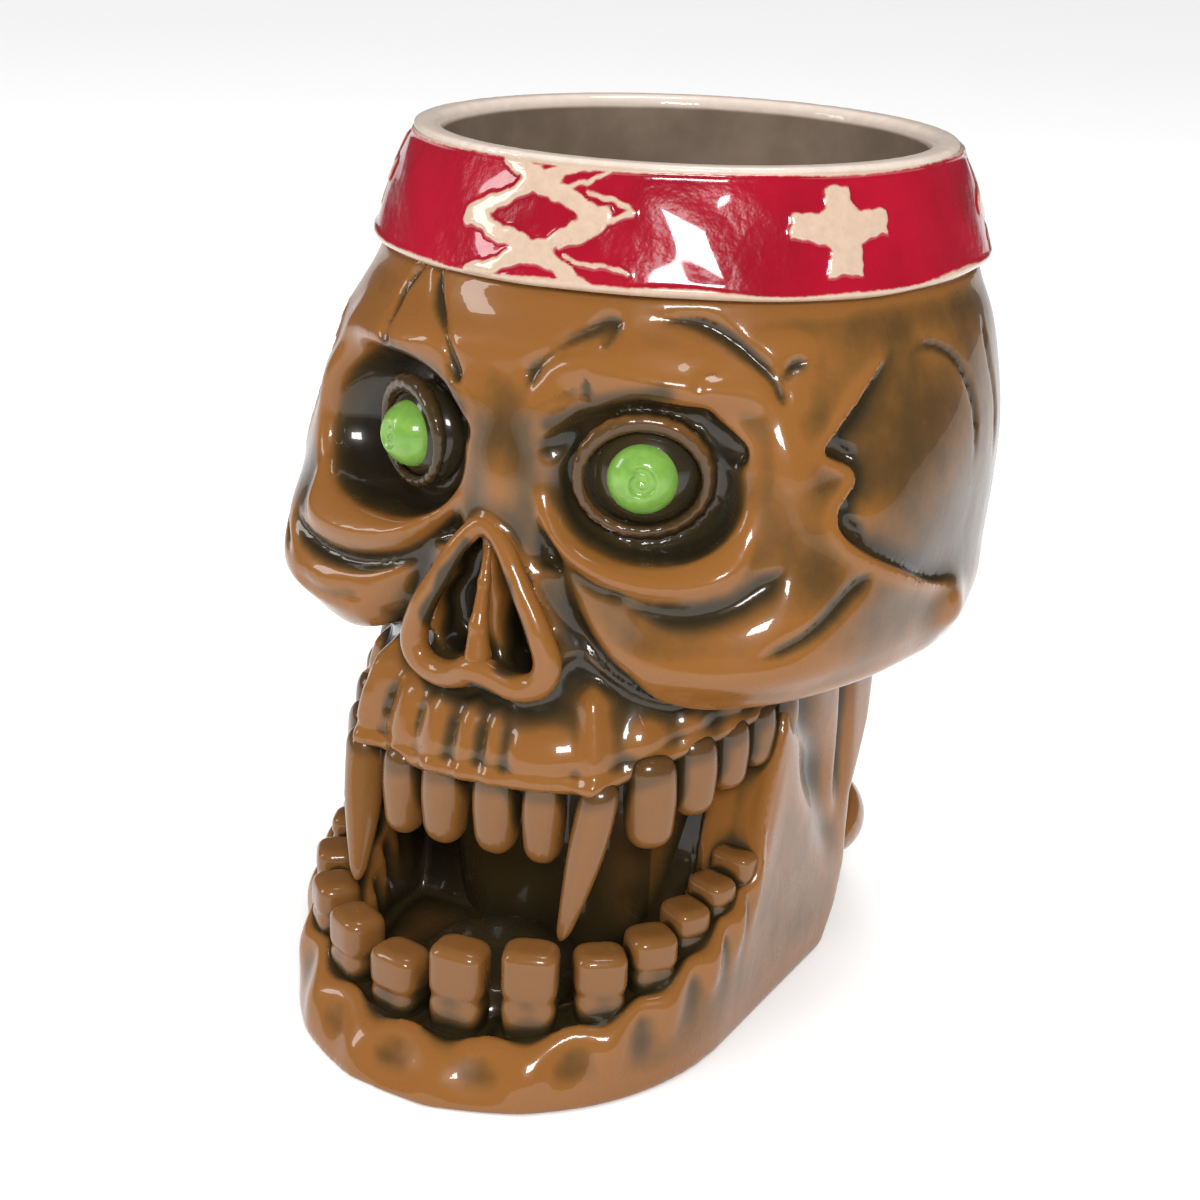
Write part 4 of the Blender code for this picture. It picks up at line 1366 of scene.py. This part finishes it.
def motif_gap(turn, height):
    """Distance to the nearest motif, negative inside it. Lattices and crosses take turns round the band."""
    best = np.full(turn.shape, 20.0)
    for number in range(MOTIFS):
        centre = math.radians(360.0 / MOTIFS * number)
        off = (turn - centre + math.pi) % (2 * math.pi) - math.pi
        u = off * BAND_MIDDLE_RADIUS
        v = height - BAND_MIDDLE_Z
        u = u + 0.28 * np.sin(1.1 * v + 2.0 * number) + 0.12 * np.sin(2.9 * v + number)
        v = v + 0.26 * np.sin(0.8 * u + number) + 0.12 * np.sin(2.3 * u)
        if number % 2 == 0:
            gap = np.full(turn.shape, 20.0)
            for start, end in LATTICE:
                gap = smooth_min(gap, segment_gap(u, v, start, end) - 1.15, 1.2)
            for start, end in FINE_LINES:
                gap = np.minimum(gap, segment_gap(u, v, start, end) - 0.25)
        else:
            u = u + 3.0
            upright = np.maximum(np.abs(u) - 2.6 + 0.06 * v, np.abs(v) - 6.4)
            arm = np.maximum(np.abs(u) - 9.0, np.abs(v - 0.8) - 1.7 - 0.9 * np.exp(-((u / 5.0) ** 2)))
            gap = smooth_min(upright, arm, 1.2)
        best = np.minimum(best, gap)
    return best


def add_band():
    """Sweeps the band's section round the rim, uneven as brushed glaze, and marks the motifs on it."""
    profile = np.array(band_profile())
    steps = BAND_STEPS
    turns = np.linspace(0.0, 2 * math.pi, steps, endpoint=False)
    rows = len(profile)
    radius = np.repeat(profile[None, :, 0], steps, 0)
    height = np.repeat(profile[None, :, 1], steps, 0)
    turn = np.repeat(turns[:, None], rows, 1)
    gap = motif_gap(turn, height)
    gap = np.minimum(gap, height - SHOULDER_Z - 1.5 - 0.3 * np.sin(5 * turn) - 0.25 * np.sin(13 * turn + 1.0))
    gap = np.minimum(gap, HEIGHT - 1.1 - height - 0.15 * np.sin(7 * turn))
    facing_out = smooth_step(47.4, 48.4, radius)
    sway = 0.22 * np.sin(3 * turn + 0.05 * height) + 0.18 * np.sin(7 * turn + 1.0)
    sway = sway + 0.12 * np.sin(17 * turn + 0.4 * height)
    radius = radius + facing_out * (sway + 0.45 * smooth_step(0.7, -0.4, gap) - 0.2)
    height = height + 0.25 * np.sin(4 * turn + 0.6) * smooth_step(140.0, 130.0, height)
    points = np.stack([np.sin(turn) * radius, -np.cos(turn) * radius, height], -1)
    near = np.arange(steps)[:, None] * rows + np.arange(rows)[None, :]
    far = np.roll(near, -1, axis=0)
    quads = np.stack([near, far, np.roll(far, -1, axis=1), np.roll(near, -1, axis=1)], -1).reshape(-1, 4)
    piece = add_piece("headband", points.reshape(-1, 3), quads[:, ::-1], RED)
    layer = piece.data.attributes.new("motif_gap", "FLOAT", "POINT")
    layer.data.foreach_set("value", gap.astype(np.float32).ravel())


add_band()
spread_shade()

# ========== Floor, light and camera ==========
def add_floor():
    mesh = bpy.data.meshes.new("studio_floor")
    mesh.from_pydata([(-4, -4, 0), (4, -4, 0), (4, 4, 0), (-4, 4, 0)], [], [(0, 1, 2, 3)])
    floor = bpy.data.objects.new("studio_floor", mesh)
    bpy.context.scene.collection.objects.link(floor)
    graph = Graph("studio_floor")
    graph.shader.inputs["Base Color"].default_value = (0.93, 0.93, 0.93, 1.0)
    graph.shader.inputs["Roughness"].default_value = 0.9
    mesh.materials.append(graph.material)


MUG_MIDDLE = (0.0, -0.02, 0.07)
# Name, place, size and watts
SOFTBOXES = (
    ("key_softbox", (0.50, -0.80, 0.62), (0.30, 0.22), 8.5),
    ("left_softbox", (-0.75, -0.55, 0.50), (0.2, 0.4), 2.5),
    ("top_softbox", (0.1, 0.15, 1.0), (0.35, 0.35), 4.0),
)
REFLECTED_SKY = 0.06  # how bright the white sky is where the glaze mirrors it


def add_softbox(name, place, size, power):
    light = bpy.data.lights.new(name, "AREA")
    light.shape = "RECTANGLE"
    light.size, light.size_y = size
    light.energy = power
    lamp = bpy.data.objects.new(name, light)
    lamp.location = place
    lamp.rotation_euler = (Vector(MUG_MIDDLE) - Vector(place)).to_track_quat("-Z", "Y").to_euler()
    bpy.context.scene.collection.objects.link(lamp)


def add_camera():
    right = Vector((0.86749707, 0.49611108, 0.03636803))
    up = Vector((-0.20068185, 0.28213897, 0.93814945))
    ahead = Vector((-0.4551655, 0.8211403, -0.34431522))
    data = bpy.data.cameras.new("photo_camera")
    data.sensor_width = 36.0
    data.lens = 63.42
    camera = bpy.data.objects.new("photo_camera", data)
    camera.matrix_world = Matrix((right, up, -ahead)).transposed().to_4x4()
    camera.location = Vector((0.173478, -0.337697, 0.1994))
    bpy.context.scene.collection.objects.link(camera)
    bpy.context.scene.camera = camera


add_floor()
for softbox in SOFTBOXES:
    add_softbox(*softbox)
add_camera()

world = bpy.data.worlds.new("studio")
world.use_nodes = True
sky = world.node_tree
paths = sky.nodes.new("ShaderNodeLightPath")
level = sky.nodes.new("ShaderNodeMapRange")
level.inputs["To Min"].default_value = 1.0
level.inputs["To Max"].default_value = REFLECTED_SKY
sky.links.new(paths.outputs["Is Glossy Ray"], level.inputs["Value"])
sky.links.new(level.outputs[0], sky.nodes["Background"].inputs["Strength"])
sky.nodes["Background"].inputs["Color"].default_value = (1.0, 1.0, 1.0, 1.0)
bpy.context.scene.world = world
bpy.context.scene.view_settings.view_transform = "Standard"
